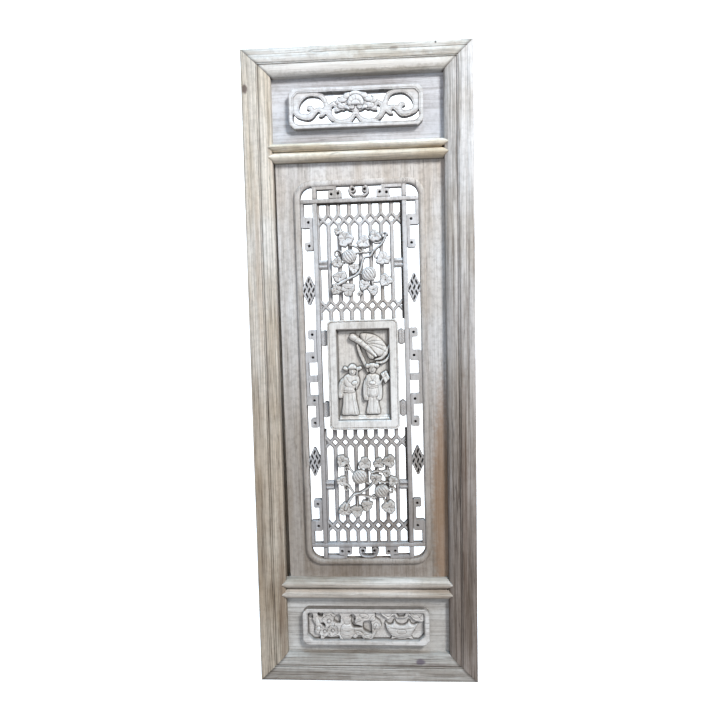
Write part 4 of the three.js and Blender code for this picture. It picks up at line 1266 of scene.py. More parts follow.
@dataclass
class RoundedBorder(Dressed):
    """The raised strip round the lattice, mitred at its rounded corners."""

    finish: ClassVar[Finish] = Finish.LEAF_BOARD
    half_x: float = 125.5
    half_y: float = 405.0
    width: float = 13.0
    radius: float = 24.0
    back: float = 12.0
    front: float = 30.0
    foot: float = 22.4

    def side(self, name: str, facing: float) -> bpy.types.Object:
        """One side from mitre to mitre.

        Args:
            name: The side's node.
            facing: Its outward angle in degrees.

        Returns:
            The side.
        """
        half = self.width / 2
        arch = np.radians(np.linspace(180, 0, 9))
        outline = [(-half, self.back), (-half, self.foot), (-half, self.front - 3.5)]
        outline += [(half * 0.94 * math.cos(a), self.front - 3.5 + 3.3 * math.sin(a)) for a in arch]
        outline += [(half, self.front - 3.5), (half, self.foot), (half, self.back)]
        stations = []
        for side in (1, -1):
            corner = math.radians(facing + side * 45)
            cx = math.copysign(self.half_x - self.radius, math.cos(corner))
            cy = math.copysign(self.half_y - self.radius, math.sin(corner))
            sweep_angles = np.radians(np.linspace(facing + side * 44.7, facing, 7))
            run = [(cx, cy, math.cos(a), math.sin(a)) for a in sweep_angles]
            stations += run if side > 0 else run[::-1]
        middle = self.radius + half
        rings = []
        for cx, cy, nx, ny in stations:
            out = np.array([o for o, _ in outline]) + middle
            t = np.array([h for _, h in outline])
            rings.append(LEAF_SEAT.world(cx + nx * out, cy + ny * out, t))
        strip = sweep(f"worn_{name}", rings)
        smooth(strip, TURNED_EDGE)
        # Dirt and painted shade: the strip's sides darken towards its foot, and its back is a little dark.
        soil_and_shade(strip, lambda x, t, z: np.where(t > self.back + 1, (self.front - 3.5 - t) / 5, 0.25))
        return strip

    def build(self) -> dict[str, bpy.types.Object]:
        """Makes the four sides."""
        facings = {"right": 0.0, "top": 90.0, "left": 180.0, "bottom": 270.0}
        return {f"leaf_ring_{key}": self.side(f"leaf_ring_{key}", angle) for key, angle in facings.items()}


def mirrored(route: Route) -> list[Point]:
    """The same points on the other side of the middle."""
    return [(-x, y) for x, y in route]


@dataclass
class ScrollPlaque(Dressed):
    """The pierced plaque of the top field: scrolls left and right of a lotus."""

    finish: ClassVar[Finish] = Finish.CARVING
    slot: ClassVar[str] = "carved_wood"
    half_x: float = 139.5
    half_y: float = 41.0
    rim: float = 9.0
    notch: float = 12.0
    step: float = 0.75
    low: float = 22.2
    front: float = 38.0
    face: float = 36.0
    seat: Seat = Seat(-2.5, -94.5)
    eye: Route = (
        (67.5, 2), (67.5, 8), (69.5, 15), (74.5, 21), (82.5, 24), (92.5, 25), (100.5, 24), (107.5, 20),
        (113.5, 14), (117.5, 7), (118.5, 0), (116.5, -6), (112.5, -9), (106.5, -10), (100.5, -10),
        (96.5, -8), (96.5, -4), (98.5, -2), (102.5, -1), (103.5, 2), (101.5, 5), (96.5, 6), (91.5, 6),
        (87.5, 2), (85.5, 0), (81.5, 2), (72.5, 2))
    wedge: Route = (
        (47.5, -30), (52.5, -25), (57.5, -19), (62.5, -12), (67.5, -16), (73.5, -18), (78.5, -16),
        (75.5, -13), (74.5, -9), (77.5, -7), (80.5, -9), (83.5, -12), (88.5, -18), (94.5, -22),
        (102.5, -23), (112.5, -21), (120.5, -18), (126.5, -14), (130.5, -10), (131, -24), (126.5, -28),
        (123.5, -31), (92, -31.5))
    gusset: Route = (
        (10.5, 31.5), (73.5, 32), (67.5, 28), (62.5, 23), (58.5, 17), (57.5, 13), (55.5, 9), (50.5, 12),
        (45.5, 14), (40.5, 14), (39.5, 18), (35.5, 22), (29.5, 22), (26.5, 23), (22.5, 27), (16.5, 28))
    cup: Route = (
        (6.5, -8), (7.5, -13), (11.5, -18), (17.5, -22), (24.5, -24), (33.5, -24), (40.5, -22),
        (46.5, -16), (49.5, -10), (50.5, -4), (49.5, 1), (46.5, 3), (44.5, 1), (45.5, -5), (44.5, -8),
        (37.5, -8), (32.5, -6), (29.5, -5), (24.5, -6), (19.5, -3), (14.5, -6), (10.5, -7))

    def lotus(self, wood: Carving) -> None:
        """The flower in the middle, with its clouds and curls.

        Args:
            wood: The plaque.
        """
        face = self.face
        for side in (-1, 1):
            wood.mound(wood.oval(side * 29, 3, 9, 6), face - 1, face + 1.6, 4, 1.2)
            wood.mound(wood.oval(side * 34, 13, 8.5, 6, side * -20), face - 1, face + 1.8, 4, 1.2)
            wood.mound(wood.oval(side * 25, 17, 10, 7, side * -25), face - 0.5, face + 2.4, 4, 1.2)
            wood.mound(wood.oval(side * 15, 24, 10, 6.5, side * -15), face, face + 2.8, 4, 1.2)
            wood.mound(wood.oval(side * 17, -1, 7, 5), face - 0.5, face + 2.0, 3, 1.2)
            wood.mound(wood.oval(side * 8, 0, 5.5, 5), face, face + 2.6, 3, 1.2)
            wood.groove([(side * 5, 0), (side * 8, 3), (side * 11, 0), (side * 8.5, -2)], 0.7, 1.1)
            wood.groove([(side * 25, 3), (side * 29, 6), (side * 33, 3), (side * 29, 1)], 0.7, 1.0)
        wood.mound(wood.oval(0, 26, 12, 6), face, face + 3.0, 4, 1.2)
        dome = wood.oval(0, 9, 17, 15)
        wood.mound(np.minimum(dome, wood.y - 3), face + 0.5, face + 3.8, 5, 1.4)
        heart = np.minimum(wood.oval(0, 5, 9, 8), wood.y - 4)
        wood.mound(heart, face + 2.0, face + 4.2, 3, 1.0)
        for angle in np.radians((25, 58, 90, 122, 155)):
            across, up = math.cos(angle), math.sin(angle)
            wood.groove([(9 * across, 5 + 8 * up), (16 * across, 8 + 14 * up)], 0.6, 0.9, dome)

    def build(self) -> bpy.types.Object:
        """Makes the plaque.

        Returns:
            The plaque.
        """
        wood = Carving(self.half_x + 1, self.half_y + 1, self.step, self.face, True)
        outer = wood.area(stepped_box(self.half_x, self.half_y, self.notch))
        inner = wood.area(stepped_box(self.half_x - self.rim, self.half_y - self.rim, self.notch - 1))
        gap = np.full(wood.x.shape, -1e3)
        for outline in (self.eye, self.wedge, self.gusset, self.cup):
            for route in (outline, mirrored(outline)):
                gap = np.maximum(gap, wood.area(route, curved=True))
        gap = np.maximum(gap, wood.area([(-10, -31), (10, -31), (0, -18)]))
        edge = -gap
        wood.height -= 1.0 * np.exp(-((edge - 2.3) / 0.55) ** 2) * (inner > 1.5)
        wood.height -= 0.7 * (1 - ease(edge, 0.0, 1.4)) * (inner > 0.5)
        self.lotus(wood)
        rim = -inner
        wood.height = np.where(rim > 0, self.front - 1.0 * np.exp(-((rim - 2.6) / 0.6) ** 2)
                               - 0.9 * (1 - ease(outer, 0.0, 1.6)) - 0.5 * (1 - ease(rim, 0.0, 1.0)),
                               wood.height)
        wood.solid = outer
        wood.pierce(np.minimum(gap, inner + 1.5))
        return wood.build("carved_scroll_plaque", self.seat, self.low, self.face - 10)


@dataclass
class VesselPlaque(Dressed):
    """The low relief of the bottom field: a vase and flowers left, a stemmed bowl right."""

    finish: ClassVar[Finish] = Finish.CARVING
    slot: ClassVar[str] = "carved_wood"
    half_x: float = 140.5
    half_y: float = 41.5
    rim: float = 11.5
    top_rim: float = 8.0
    notch: float = 12.0
    step: float = 0.75
    low: float = 22.2
    front: float = 38.0
    ground: float = 27.0
    face: float = 34.0
    seat: Seat = Seat(-4.0, -1214.0)
    mass: Route = (
        (-122, 34), (-117, 12), (-113, 0), (-114, -16), (-103, -21), (-102, -34), (-96, -34), (-90, -23),
        (-80, -26), (-70, -25), (-61, -23), (-56, -36), (-34, -36), (-33, -25), (-24, -28), (-14, -20),
        (-6, -29), (10, -31), (18, -23), (24, -12), (33, 0), (31, 11), (20, 20), (8, 34))
    eyes: tuple[Route, ...] = (
        ((-107, 29), (-96, 29), (-97, 21), (-105, 21)),
        ((-68, 22), (-63, 25), (-58, 22), (-57, 8), (-64, 6), (-72, 12)),
        ((-35, 20), (-31, 25), (-26, 22), (-24, 6), (-10, 0), (-10, -3), (-28, -3), (-33, 8)),
        ((-6, 8), (2, 12), (11, 10), (13, -16), (4, -15), (-6, -8)),
        ((-101, 6), (-92, 7), (-90, -2), (-96, 0)))
    bowl: Route = (
        (43, 10), (50, 4), (58, 5), (63, 14), (68, 6), (79, 2), (90, 6), (95, 14), (100, 6), (106, 4),
        (115, 7), (108, -6), (102, -18), (92, -24), (62, -24), (52, -16), (45, -4))
    knot: Route = (
        (37, 34), (44, 18), (52, 15), (60, 24), (70, 18), (88, 18), (96, 24), (108, 13), (127, 11), (128, 34))

    def left_side(self, wood: Carving) -> None:
        """Vase, leaves, flowers and ribbon.

        Args:
            wood: The plaque.
        """
        face, base = self.face, self.ground
        mass = wood.area(self.mass, curved=True)
        eyes = np.full(wood.x.shape, -1e3)
        for outline in self.eyes:
            eyes = np.maximum(eyes, wood.area(outline, curved=True))
        for cx, cy, rx, ry in ((-124, 22, 6, 8), (-101, 28, 5, 7), (-62, 19, 6, 8), (-30, 19, 7, 8)):
            eyes = np.maximum(eyes, wood.oval(cx, cy, rx, ry))
        inside = np.minimum(mass, -eyes)
        wood.height -= 3.0 * ease(eyes, 0.0, 1.5)
        wood.mound(inside, base + 4.5, face - 0.4, 3.0, 0.5)
        body = wood.oval(-42, -12, 15, 19)
        wood.mound(np.minimum(body, inside + 2), face - 2.5, face + 1.6, 9, 1.2)
        neck = wood.area([(-50, 20), (-47, 6), (-37, 6), (-33, 20)], curved=True)
        wood.mound(neck, face - 2, face + 0.8, 4)
        wood.groove([(-54, -8), (-42, -11), (-30, -8)], 0.7, 1.0, body)
        wood.groove([(-54, -18), (-42, -21), (-30, -18)], 0.7, 1.0, body)
        wood.groove([(-52, 19), (-42, 17), (-32, 19)], 0.7, 1.0)
        for cx, cy, size, turn in ((-82, 12, 15, 20), (-92, -12, 12, 60), (-74, -10, 12, -30)):
            flower(wood, cx, cy, size, turn, face - 1.8, face + 1.2, inside)
        for cx, cy, rx, ry, turn in (
                (-108, 8, 5, 12, 10), (-107, -10, 5, 9, -20), (-84, 29, 9, 4, 5), (-66, 30, 6, 4, -10),
                (-18, 16, 11, 6, 25), (-16, -16, 8, 5, -20), (16, 18, 8, 5, 45), (22, 0, 8, 6, 70),
                (-4, 24, 9, 5, -15), (2, -24, 8, 4, 5)):
            petal = wood.oval(cx, cy, rx, ry, turn)
            wood.mound(np.minimum(petal, inside), face - 2.0, face + 1.0, 3.5, 1.0)
            dx, dy = rx * 0.8 * math.cos(math.radians(turn)), rx * 0.8 * math.sin(math.radians(turn))
            wood.groove([(cx - dx, cy - dy), (cx + dx, cy + dy)], 0.6, 0.9, petal)
        for route in (((-28, -20), (-12, -12), (-2, -22), (12, -26)), ((-26, 12), (-8, 18), (4, 26)),
                      ((14, -18), (20, -4), (26, 6))):
            wood.groove(route, 0.8, 1.1, inside)

    def right_side(self, wood: Carving) -> None:
        """The bowl on its stand with a knotted ribbon above.

        Args:
            wood: The plaque.
        """
        face, base = self.face, self.ground
        stand = wood.area([(52, -36), (57, -23), (100, -23), (108, -36)])
        feet = np.maximum(wood.oval(66, -33, 7, 5), wood.oval(93, -33, 7, 5))
        wood.mound(np.minimum(stand, -feet), base + 3, face - 2.2, 2.5, 0.6)
        knot = wood.area(self.knot, curved=True)
        hole = wood.area([(68, 29), (88, 29), (84, 21), (72, 21)])
        knot = np.minimum(knot, -hole)
        wood.mound(knot, base + 3, face - 0.8, 3.0, 0.5)
        for route in (((40, 28), (50, 22), (60, 30), (72, 33)), ((96, 31), (106, 20), (118, 20), (124, 27)),
                      ((104, 27), (114, 26), (122, 16)),
                      ((62, 27), (66, 20), (78, 18.5), (90, 20), (94, 27))):
            wood.groove(route, 0.8, 1.3, knot)
        bowl = wood.area(self.bowl, curved=True)
        wood.mound(bowl, base + 3.5, face + 1.6, 6.0, 1.0)
        wood.groove([(46, 3), (58, -3), (79, -6), (100, -3), (111, 2)], 0.8, 1.3, bowl)
        wood.groove([(53, -15), (66, -19), (79, -20), (92, -19), (104, -15)], 0.7, 1.0, bowl)
        wood.mound(wood.oval(79, -11, 9, 5), face, face + 2.2, 4, 1.0)

    def build(self) -> bpy.types.Object:
        """Makes the plaque.

        Returns:
            The plaque.
        """
        wood = Carving(self.half_x + 1, self.half_y + 1, self.step, self.ground, True)
        wood.height += 0.25 * np.sin(wood.x * 0.9 + wood.y * 0.35) * np.sin(wood.y * 0.8 - wood.x * 0.2)
        self.left_side(wood)
        self.right_side(wood)
        outer = wood.area(stepped_box(self.half_x, self.half_y, self.notch))
        side, top, foot = self.half_x - self.rim, self.half_y - self.top_rim, self.half_y - self.rim
        cut = self.notch
        inner = wood.area([(side, top - 3), (side - 3, top), (3 - side, top), (-side, top - 3),
                           (-side, cut - foot), (cut - side, -foot), (side - cut, -foot), (side, cut - foot)])
        rim = -inner
        wood.height -= 0.5 * (1 - ease(inner, 0.0, 1.4)) * (inner > 0)
        wood.height = np.where(rim > 0, self.front - 0.9 * np.exp(-((rim - 1.8) / 0.5) ** 2)
                               - 0.9 * (1 - ease(outer, 0.0, 1.8)) - 0.6 * (1 - ease(rim, 0.0, 1.0)),
                               wood.height)
        wood.solid = outer
        return wood.build("carved_vessel_plaque", self.seat, self.low, self.ground + 1.5)


def flower(wood: Carving, cx: float, cy: float, size: float, turn: float, edge: float, crest: float,
           within: np.ndarray) -> None:
    """A five-petalled flower with a round heart.

    Args:
        wood: The carving.
        cx, cy: Its middle.
        size: Its reach.
        turn: Its lean in degrees.
        edge: Height of its middle.
        crest: Height of its rim.
        within: The form that it stays inside.
    """
    inside, reach, angle = wood.polar(cx, cy, turn, lambda a: size * (0.80 + 0.20 * np.abs(np.cos(2.5 * a))))
    inside = np.minimum(inside, within)
    cup = edge + (crest - edge) * np.clip(reach / size, 0, 1) ** 1.4
    parting = 1.0 * np.exp(-(np.sin(2.5 * angle) / 0.16) ** 2) * (reach > size * 0.3)
    wood.add(inside, cup - parting * 0.9, 1.0)
    heart = np.minimum(wood.oval(cx, cy, size * 0.27, size * 0.27), within)
    wood.mound(heart, crest - 1.2, crest + 0.8, 2.5, 1.0)


@dataclass
class FigurePanel(Dressed):
    """The framed panel: two robed attendants under a fan-shaped plantain leaf."""

    finish: ClassVar[Finish] = Finish.PANEL
    slot: ClassVar[str] = "carved_wood"
    half_x: float = 76.0
    half_y: float = 118.5
    opening_x: float = 57.0
    opening_y: float = 98.5
    step: float = 0.7
    corner: float = 8.0
    low: float = 12.2
    front: float = 38.0
    ground: float = 23.0
    face: float = 34.5
    seat: Seat = field(default_factory=lambda: LEAF_SEAT.on(0, 3))

    def robe(self, wood: Carving, outline: Route, edge: float, crest: float, folds: Iterable[Route]) -> None:
        """A piece of clothing with cut folds.

        Args:
            wood: The panel.
            outline: Its outline.
            edge: Height of its rim.
            crest: Height of its middle.
            folds: Lines cut in it.
        """
        cloth = wood.area(outline, curved=True)
        wood.mound(cloth, edge, crest, 7.0, 1.2)
        for fold in folds:
            wood.groove(fold, 0.9, 1.1, cloth)

    def head(self, wood: Carving, cx: float, cy: float, size: float) -> None:
        """A plain round head with brows, nose and mouth.

        Args:
            wood: The panel.
            cx, cy: Middle.
            size: Half its height.
        """
        face = wood.oval(cx, cy, size * 0.86, size)
        wood.mound(face, self.face - 3.0, self.face + 1.8, size, 1.4)
        for side in (-1, 1):
            eye = cx + side * size * 0.36
            wood.groove([(eye - 1.8, cy + 1.0), (eye, cy + 1.8), (eye + 1.8, cy + 1.0)], 0.6, 0.9)
            wood.mound(wood.oval(eye, cy - 0.4, 1.5, 0.9), self.face + 0.6, self.face + 1.7, 1.0, 0.4)
        wood.mound(wood.oval(cx, cy - 2.0, 1.5, 3.0), self.face + 1.4, self.face + 3.0, 1.5, 0.3)
        wood.groove([(cx - 2.2, cy - 5.6), (cx, cy - 6.2), (cx + 2.2, cy - 5.6)], 0.6, 0.9)

    def left_figure(self, wood: Carving) -> None:
        """The attendant with a winged hat whose long sleeve hangs at the side.

        Args:
            wood: The panel.
        """
        face = self.face
        self.robe(wood, [(-46, -36), (-34, -32), (-20, -34), (-17, -56), (-13, -86), (-30, -87), (-49, -86),
                         (-47, -60)], face - 7, face - 1.8,
                  [[(-41, -40), (-42, -62), (-44, -84)], [(-34, -40), (-34, -62), (-35, -84)],
                   [(-27, -40), (-25, -62), (-22, -84)], [(-21, -50), (-19, -66), (-16, -84)]])
        self.robe(wood, [(-44, -6), (-54, -16), (-58, -34), (-57, -48), (-48, -50), (-44, -38), (-38, -24)],
                  face - 7, face - 1.0,
                  [[(-48, -14), (-52, -30), (-52, -46)], [(-43, -18), (-46, -30), (-49, -40)]])
        self.robe(wood, [(-45, -8), (-38, 1), (-26, 3), (-13, -2), (-9, -12), (-12, -24), (-20, -30),
                         (-20, -38), (-44, -38), (-42, -24)], face - 5.5, face,
                  [[(-38, -4), (-32, -14), (-24, -20)], [(-42, -22), (-34, -26), (-24, -26)],
                   [(-14, -4), (-18, -14), (-22, -20)]])
        wood.groove([(-44, -33), (-32, -35), (-20, -33)], 0.9, 1.4)
        wood.groove([(-44, -37), (-32, -39), (-20, -37)], 0.9, 1.4)
        wood.mound(wood.oval(-20, -17, 6, 4.5, 20), face - 0.5, face + 2.2, 3, 1.0)
        wood.band([(-14, 14), (-15, -10), (-16, -30)], (3.2, 3.2), face - 4, face - 0.2)
        for side in (-1, 1):
            wing = [(-24 + side * 7, 14), (-24 + side * 17, 19), (-24 + side * 21, 13), (-24 + side * 12, 9)]
            wood.mound(wood.area(wing, curved=True), face - 5, face - 0.8, 4, 1.2)
        self.head(wood, -24, 8, 9.0)
        wood.mound(np.minimum(wood.oval(-24, 14, 9.5, 10), wood.y - 12.5), face - 1, face + 2.8, 5, 1.2)
        wood.groove([(-33, 13.5), (-24, 12.5), (-15, 13.5)], 0.8, 1.4)

    def right_figure(self, wood: Carving) -> None:
        """The attendant who holds a square fan.

        Args:
            wood: The panel.
        """
        face = self.face
        wood.band([(33, -26), (39, -12), (45, 2)], (3.2, 3.0), face - 5, face - 0.8)
        fan = wood.area([(36, 1), (48, 9), (57, -8), (46, -21)])
        wood.mound(fan, face - 4.5, face - 0.2, 3, 1.2)
        wood.groove([(41, -8), (52, 0)], 0.7, 1.1, fan)
        wood.groove([(43, 5), (51, -14)], 0.7, 1.1, fan)
        self.robe(wood, [(8, -44), (18, -42), (29, -44), (31, -62), (34, -84), (20, -86), (4, -84), (7, -62)],
                  face - 7, face - 1.8,
                  [[(13, -48), (12, -64), (10, -82)], [(19, -48), (19, -64), (19, -84)],
                   [(25, -48), (26, -64), (28, -82)]])
        for side in (-1, 1):
            sleeve = ((13, -6), (20, -22), (21, -46), (17, -56), (9, -54), (9, -36), (8, -16))
            fold = ((15, -12), (16, -34), (14, -52))
            self.robe(wood, [(18 + side * x, y) for x, y in sleeve], face - 6.5, face - 0.8,
                      [[(18 + side * x, y) for x, y in fold]])
        self.robe(wood, [(4, -6), (10, 1), (19, 3), (28, 1), (34, -6), (30, -24), (29, -46), (8, -46),
                         (7, -24)], face - 5.0, face,
                  [[(11, 0), (18, -12), (19, -22)], [(27, 0), (20, -12), (19, -22)],
                   [(12, -28), (12, -36), (11, -45)], [(25, -28), (26, -36), (27, -45)]])
        wood.groove([(8, -24), (18, -26), (29, -24)], 0.9, 1.5)
        wood.groove([(8, -28), (18, -30), (29, -28)], 0.9, 1.5)
        wood.mound(wood.oval(18, -18, 6.5, 4), face - 0.5, face + 2.0, 3, 1.0)
        self.head(wood, 19, 12, 9.5)
        wood.mound(np.minimum(wood.oval(19, 17, 11, 8.5), wood.y - 15.5), face - 1, face + 2.4, 5, 1.2)
        for side in (-1, 1):
            wood.mound(wood.oval(19 + side * 10, 19, 5, 5), face - 2, face + 1.8, 3.5, 1.2)

    def plantain(self, wood: Carving) -> None:
        """The trunk, the leaf stalk, the ribbed fan-shaped leaf and two young leaves.

        Args:
            wood: The panel.
        """
        face = self.face
        leaf = wood.area([(-6, 86), (10, 89), (30, 83), (46, 68), (54, 50), (50, 40), (36, 38), (20, 44),
                          (4, 58)], curved=True)
        wood.mound(leaf, face - 6.5, face - 1.2, 8, 1.2)
        for end in ((8, 87), (24, 83), (38, 73), (48, 60), (52, 47)):
            wood.groove([(2, 68), ((end[0] + 2) / 2 + 1.5, (end[1] + 68) / 2 + 2), end], 0.9, 1.4, leaf)
        wood.band([(26, 32), (40, 36), (50, 48), (56, 64)], (4, 8, 6, 2.5), face - 7, face - 1.5, 1.2)
        wood.band([(28, 26), (42, 26), (52, 34), (56, 44)], (4, 7, 6, 2.5), face - 7, face - 1.5, 1.2)
        wood.band([(-12, 64), (-6, 44), (2, 26), (9, 8)], (6, 8, 8, 6), face - 7, face - 2.5, 1.2)
        wood.groove([(-10, 60), (-3, 40), (5, 22)], 0.8, 1.3)
        bract = wood.area([(6, 56), (24, 48), (22, 34), (12, 36)], curved=True)
        wood.mound(bract, face - 6, face - 1.5, 5, 1.2)
        trunk = ((-22, 82), (-10, 74), (6, 60), (20, 47), (27, 40))
        wood.band(trunk, (15, 13, 12, 10, 6), face - 5, face + 1.0, 1.4)
        for x, y in ((-14, 77), (-4, 69), (5, 61)):
            wood.groove([(x - 5, y - 6), (x + 0.5, y + 0.5), (x + 6, y + 6)], 0.8, 1.3)

    def build(self) -> bpy.types.Object:
        """Makes the panel.

        Returns:
            The panel.
        """
        wood = Carving(self.half_x + 0.7, self.half_y + 0.7, self.step, self.ground, True)
        wood.height += 0.3 * np.sin(wood.x * 0.7 + wood.y * 0.2) * np.sin(wood.y * 0.5)
        self.plantain(wood)
        self.left_figure(wood)
        self.right_figure(wood)
        sill = ease(-wood.y, self.opening_y - 14, self.opening_y - 1)
        wood.height = np.maximum(wood.height, self.ground + 7.0 * sill)
        for offset in (11.0, 6.5):
            wood.height -= 1.0 * np.exp(-((wood.y + self.opening_y - offset) / 0.7) ** 2)
        inner = wood.area([(self.opening_x, -self.opening_y), (self.opening_x, self.opening_y),
                           (-self.opening_x, self.opening_y), (-self.opening_x, -self.opening_y)])
        slope = np.clip(1 - inner / 3.2, 0, 1) * (inner > 0)
        wood.height = np.maximum(wood.height, self.ground + (self.front - 3.0 - self.ground) * slope)
        outer = wood.area(stepped_box(self.half_x, self.half_y, self.corner))
        rim = -inner
        border = self.front - 1.7 * np.exp(-((outer - 4.2) / 0.8) ** 2) - 1.4 * (1 - ease(outer, 0.0, 2.4))
        border -= 0.9 * (1 - ease(rim, 0.0, 1.3))
        wood.height = np.where(rim > 0, border, wood.height)
        wood.solid = outer
        return wood.build("carved_figure_panel", self.seat, self.low, self.ground + 1.5)


Leaf = tuple[float, float, float, float]


@dataclass(frozen=True)
class VineDrawing:
    """Stems, leaves (x, y, size, turn), curls (x, y, radius) and gourds of one carving."""

    stems: tuple[Route, ...]
    leaves: tuple[Leaf, ...]
    curls: tuple[tuple[float, float, float], ...]
    gourds: tuple[tuple[float, float, float], ...]


@dataclass
class VineCarving(Dressed):
    """A pierced gourd vine that lies on the lattice."""

    finish: ClassVar[Finish] = Finish.CARVING
    slot: ClassVar[str] = "carved_wood"
    name: str
    seat: Seat
    drawing: VineDrawing
    half_x: float = 66.0
    half_y: float = 74.0
    step: float = 0.7
    low: float = 22.4
    base: float = 28.6
    spread: float = 1.18
    lean: float = 35.0

    def leaf(self, wood: Carving, cx: float, cy: float, size: float, turn: float) -> None:
        """A broad blunt-lobed leaf, flat on top, with cut veins.

        Args:
            wood: The carving.
            cx, cy: Middle.
            size: Its reach.
            turn: Where it points, in degrees.
        """
        size *= self.spread

        def outline(angle: np.ndarray) -> np.ndarray:
            """The leaf's reach at an angle."""
            lobes = 0.84 + 0.10 * np.cos(3 * angle) + 0.05 * np.cos(7 * angle + cx) + 0.06 * np.cos(angle)
            return size * lobes

        inside, reach, _ = wood.polar(cx, cy, turn, outline)
        tilt = 0.05 * ((wood.x - cx) * math.cos(cx) + (wood.y - cy) * math.sin(cx + cy))
        swell = ease(inside, 0.0, 3.0)
        surface = self.base + 1.0 + 3.4 * swell + tilt - 0.9 * np.exp(-(reach / (size * 0.3)) ** 2)
        wood.add(inside, surface, 1.4)
        for vein, share in ((0, 0.85), (50, 0.6), (-50, 0.6), (115, 0.62), (-115, 0.62)):
            way = math.radians(turn + vein)
            bend = math.radians(turn + vein * 0.8)
            tip = size * share
            wood.groove([(cx, cy), (cx + tip * 0.5 * math.cos(bend), cy + tip * 0.5 * math.sin(bend)),
                         (cx + tip * math.cos(way), cy + tip * math.sin(way))], 0.7, 1.1, inside)

    def gourd(self, wood: Carving, cx: float, cy: float, size: float) -> None:
        """A round gourd with curved ribs that meet at its ends.

        Args:
            wood: The carving.
            cx, cy: Middle.
            size: Its radius.
        """
        lean = math.radians(self.lean)
        dx, dy = wood.x - cx, wood.y - cy
        u = dx * math.cos(lean) + dy * math.sin(lean)
        v = dy * math.cos(lean) - dx * math.sin(lean)
        inside = wood.oval(cx, cy, size * 0.96, size * 0.9, self.lean)
        share = np.clip(1 - inside / (size * 0.9), 0, 1)
        surface = self.base + 1.0 + 6.8 * np.sqrt(np.clip(1 - share ** 2.6, 0, 1))
        room = np.sqrt(np.clip(1 - (v / (size * 0.9)) ** 2, 0.03, 1)) * size * 0.96
        across = u / room
        ribs = np.zeros(wood.x.shape)
        for meridian in (-0.8, -0.45, -0.08, 0.3, 0.62, 0.87):
            width = 0.75 / np.maximum(room, 2.0)
            ribs = np.maximum(ribs, np.exp(-((across - meridian) / width) ** 2))
        wood.add(inside, surface - ribs * 1.5, 1.8)
        tip = (cx + size * 0.84 * math.sin(lean), cy - size * 0.8 * math.cos(lean))
        wood.mound(wood.oval(*tip, 3.4, 2.6), self.base + 2, self.base + 5, 2.5, 1.0)

    def build(self) -> bpy.types.Object:
        """Makes the carving.

        Returns:
            The carving.
        """
        wood = Carving(self.half_x, self.half_y, self.step, self.base - 1, False)
        for stem in self.drawing.stems:
            wood.band(stem, (5.4, 5.0, 4.2), self.base - 1.5, self.base + 2.2)
        for cx, cy, radius in self.drawing.curls:
            turns = np.linspace(0, 2.3 * math.pi, 14)
            spiral = [(cx + radius * (1 - 0.75 * a / turns[-1]) * math.cos(a),
                       cy + radius * (1 - 0.75 * a / turns[-1]) * math.sin(a)) for a in turns]
            wood.band(spiral, (4.2, 3.8), self.base - 1.5, self.base + 1.8)
        for leaf in self.drawing.leaves:
            self.leaf(wood, *leaf)
        wood.band(self.drawing.stems[0], (6.2, 5.6, 4.6), self.base + 0.5, self.base + 5.4, 1.6)
        for gourd in self.drawing.gourds:
            self.gourd(wood, *gourd)
        wood.soften(1.2)
        return wood.build(self.name, self.seat, self.low, self.base - 4)


UPPER_VINE = VineDrawing(
    stems=(
        ((-48, -44), (-33, -36), (-8, -24), (0, -12), (7, 10), (20, 13), (30, 26), (47, 40), (56, 58)),
        ((-31, 48), (-20, 38), (-8, 34), (7, 22), (27, 24)), ((19, 56), (31, 42), (45, 42)),
        ((32, 26), (31, 12), (44, 6)), ((-24, 14), (-10, 20), (4, 22)),
        ((17, -24), (26, -40), (40, -40), (50, -38)), ((5, -24), (4, -44), (-4, -64)),
        ((-33, -36), (-30, -50), (-27, -62)), ((17, -24), (24, -42), (25, -56)),
        ((-24, 10), (-40, 0), (-49, 12)), ((-8, -24), (-13, -18), (-15, -12)), ((-48, -44), (-52, -54)),
        ((-31, 50), (-46, 66)), ((7, 22), (4, 32), (7, 42)), ((-6, -22), (5, -22), (17, -24))),
    leaves=(
        (-31, 50, 17, 120), (7, 42, 14, 80), (32, 54, 13, 100), (47, 8, 15, -20), (-43, -30, 15, 170),
        (-49, 2, 12, 190), (-15, -12, 12, 30), (-52, -54, 13, 220), (-28, -54, 15, 270), (6, -46, 12, 250),
        (25, -57, 12, 280), (51, -38, 14, -10), (-46, 68, 9, 120)),
    curls=((-49, 20, 9), (-4, -66, 5), (52, 56, 7)),
    gourds=((-24, 14, 17), (17, -24, 17)))

LOWER_VINE = VineDrawing(
    stems=(
        ((-49, -50), (-41, -33), (-29, -18), (-16, -14), (-4, -7), (8, 2), (16, 15)),
        ((-16, 21), (-4, 10), (8, 2)), ((-52, 56), (-42, 50), (-34, 34), (-20, 24)),
        ((-4, 49), (6, 36), (16, 20)), ((10, 29), (21, 33), (41, 31), (48, 50)),
        ((26, 48), (24, 38), (21, 33)), ((16, 15), (36, 8), (54, 10)),
        ((-54, 12), (-42, 2), (-29, -17)), ((-29, -20), (-14, -20), (2, -24), (14, -26)),
        ((31, -11), (36, -30), (46, -45)), ((14, -26), (22, -20), (31, -11)), ((-2, -41), (2, -30), (6, -24)),
        ((-24, -52), (-22, -36), (-20, -22))),
    leaves=(
        (-52, 56, 14, 120), (-4, 50, 14, 90), (26, 50, 12, 80), (48, 54, 14, 60), (18, 16, 13, 20),
        (56, 11, 12, 0), (-54, 12, 12, 180), (42, 28, 9, 30), (-2, -42, 13, 260), (-49, -51, 15, 210),
        (-24, -54, 14, 270), (46, -46, 15, 300)),
    curls=((-45, -4, 8), (14, -26, 6), (52, -11, 9), (-44, 38, 6)),
    gourds=((-16, 21, 18), (31, -11, 17)))


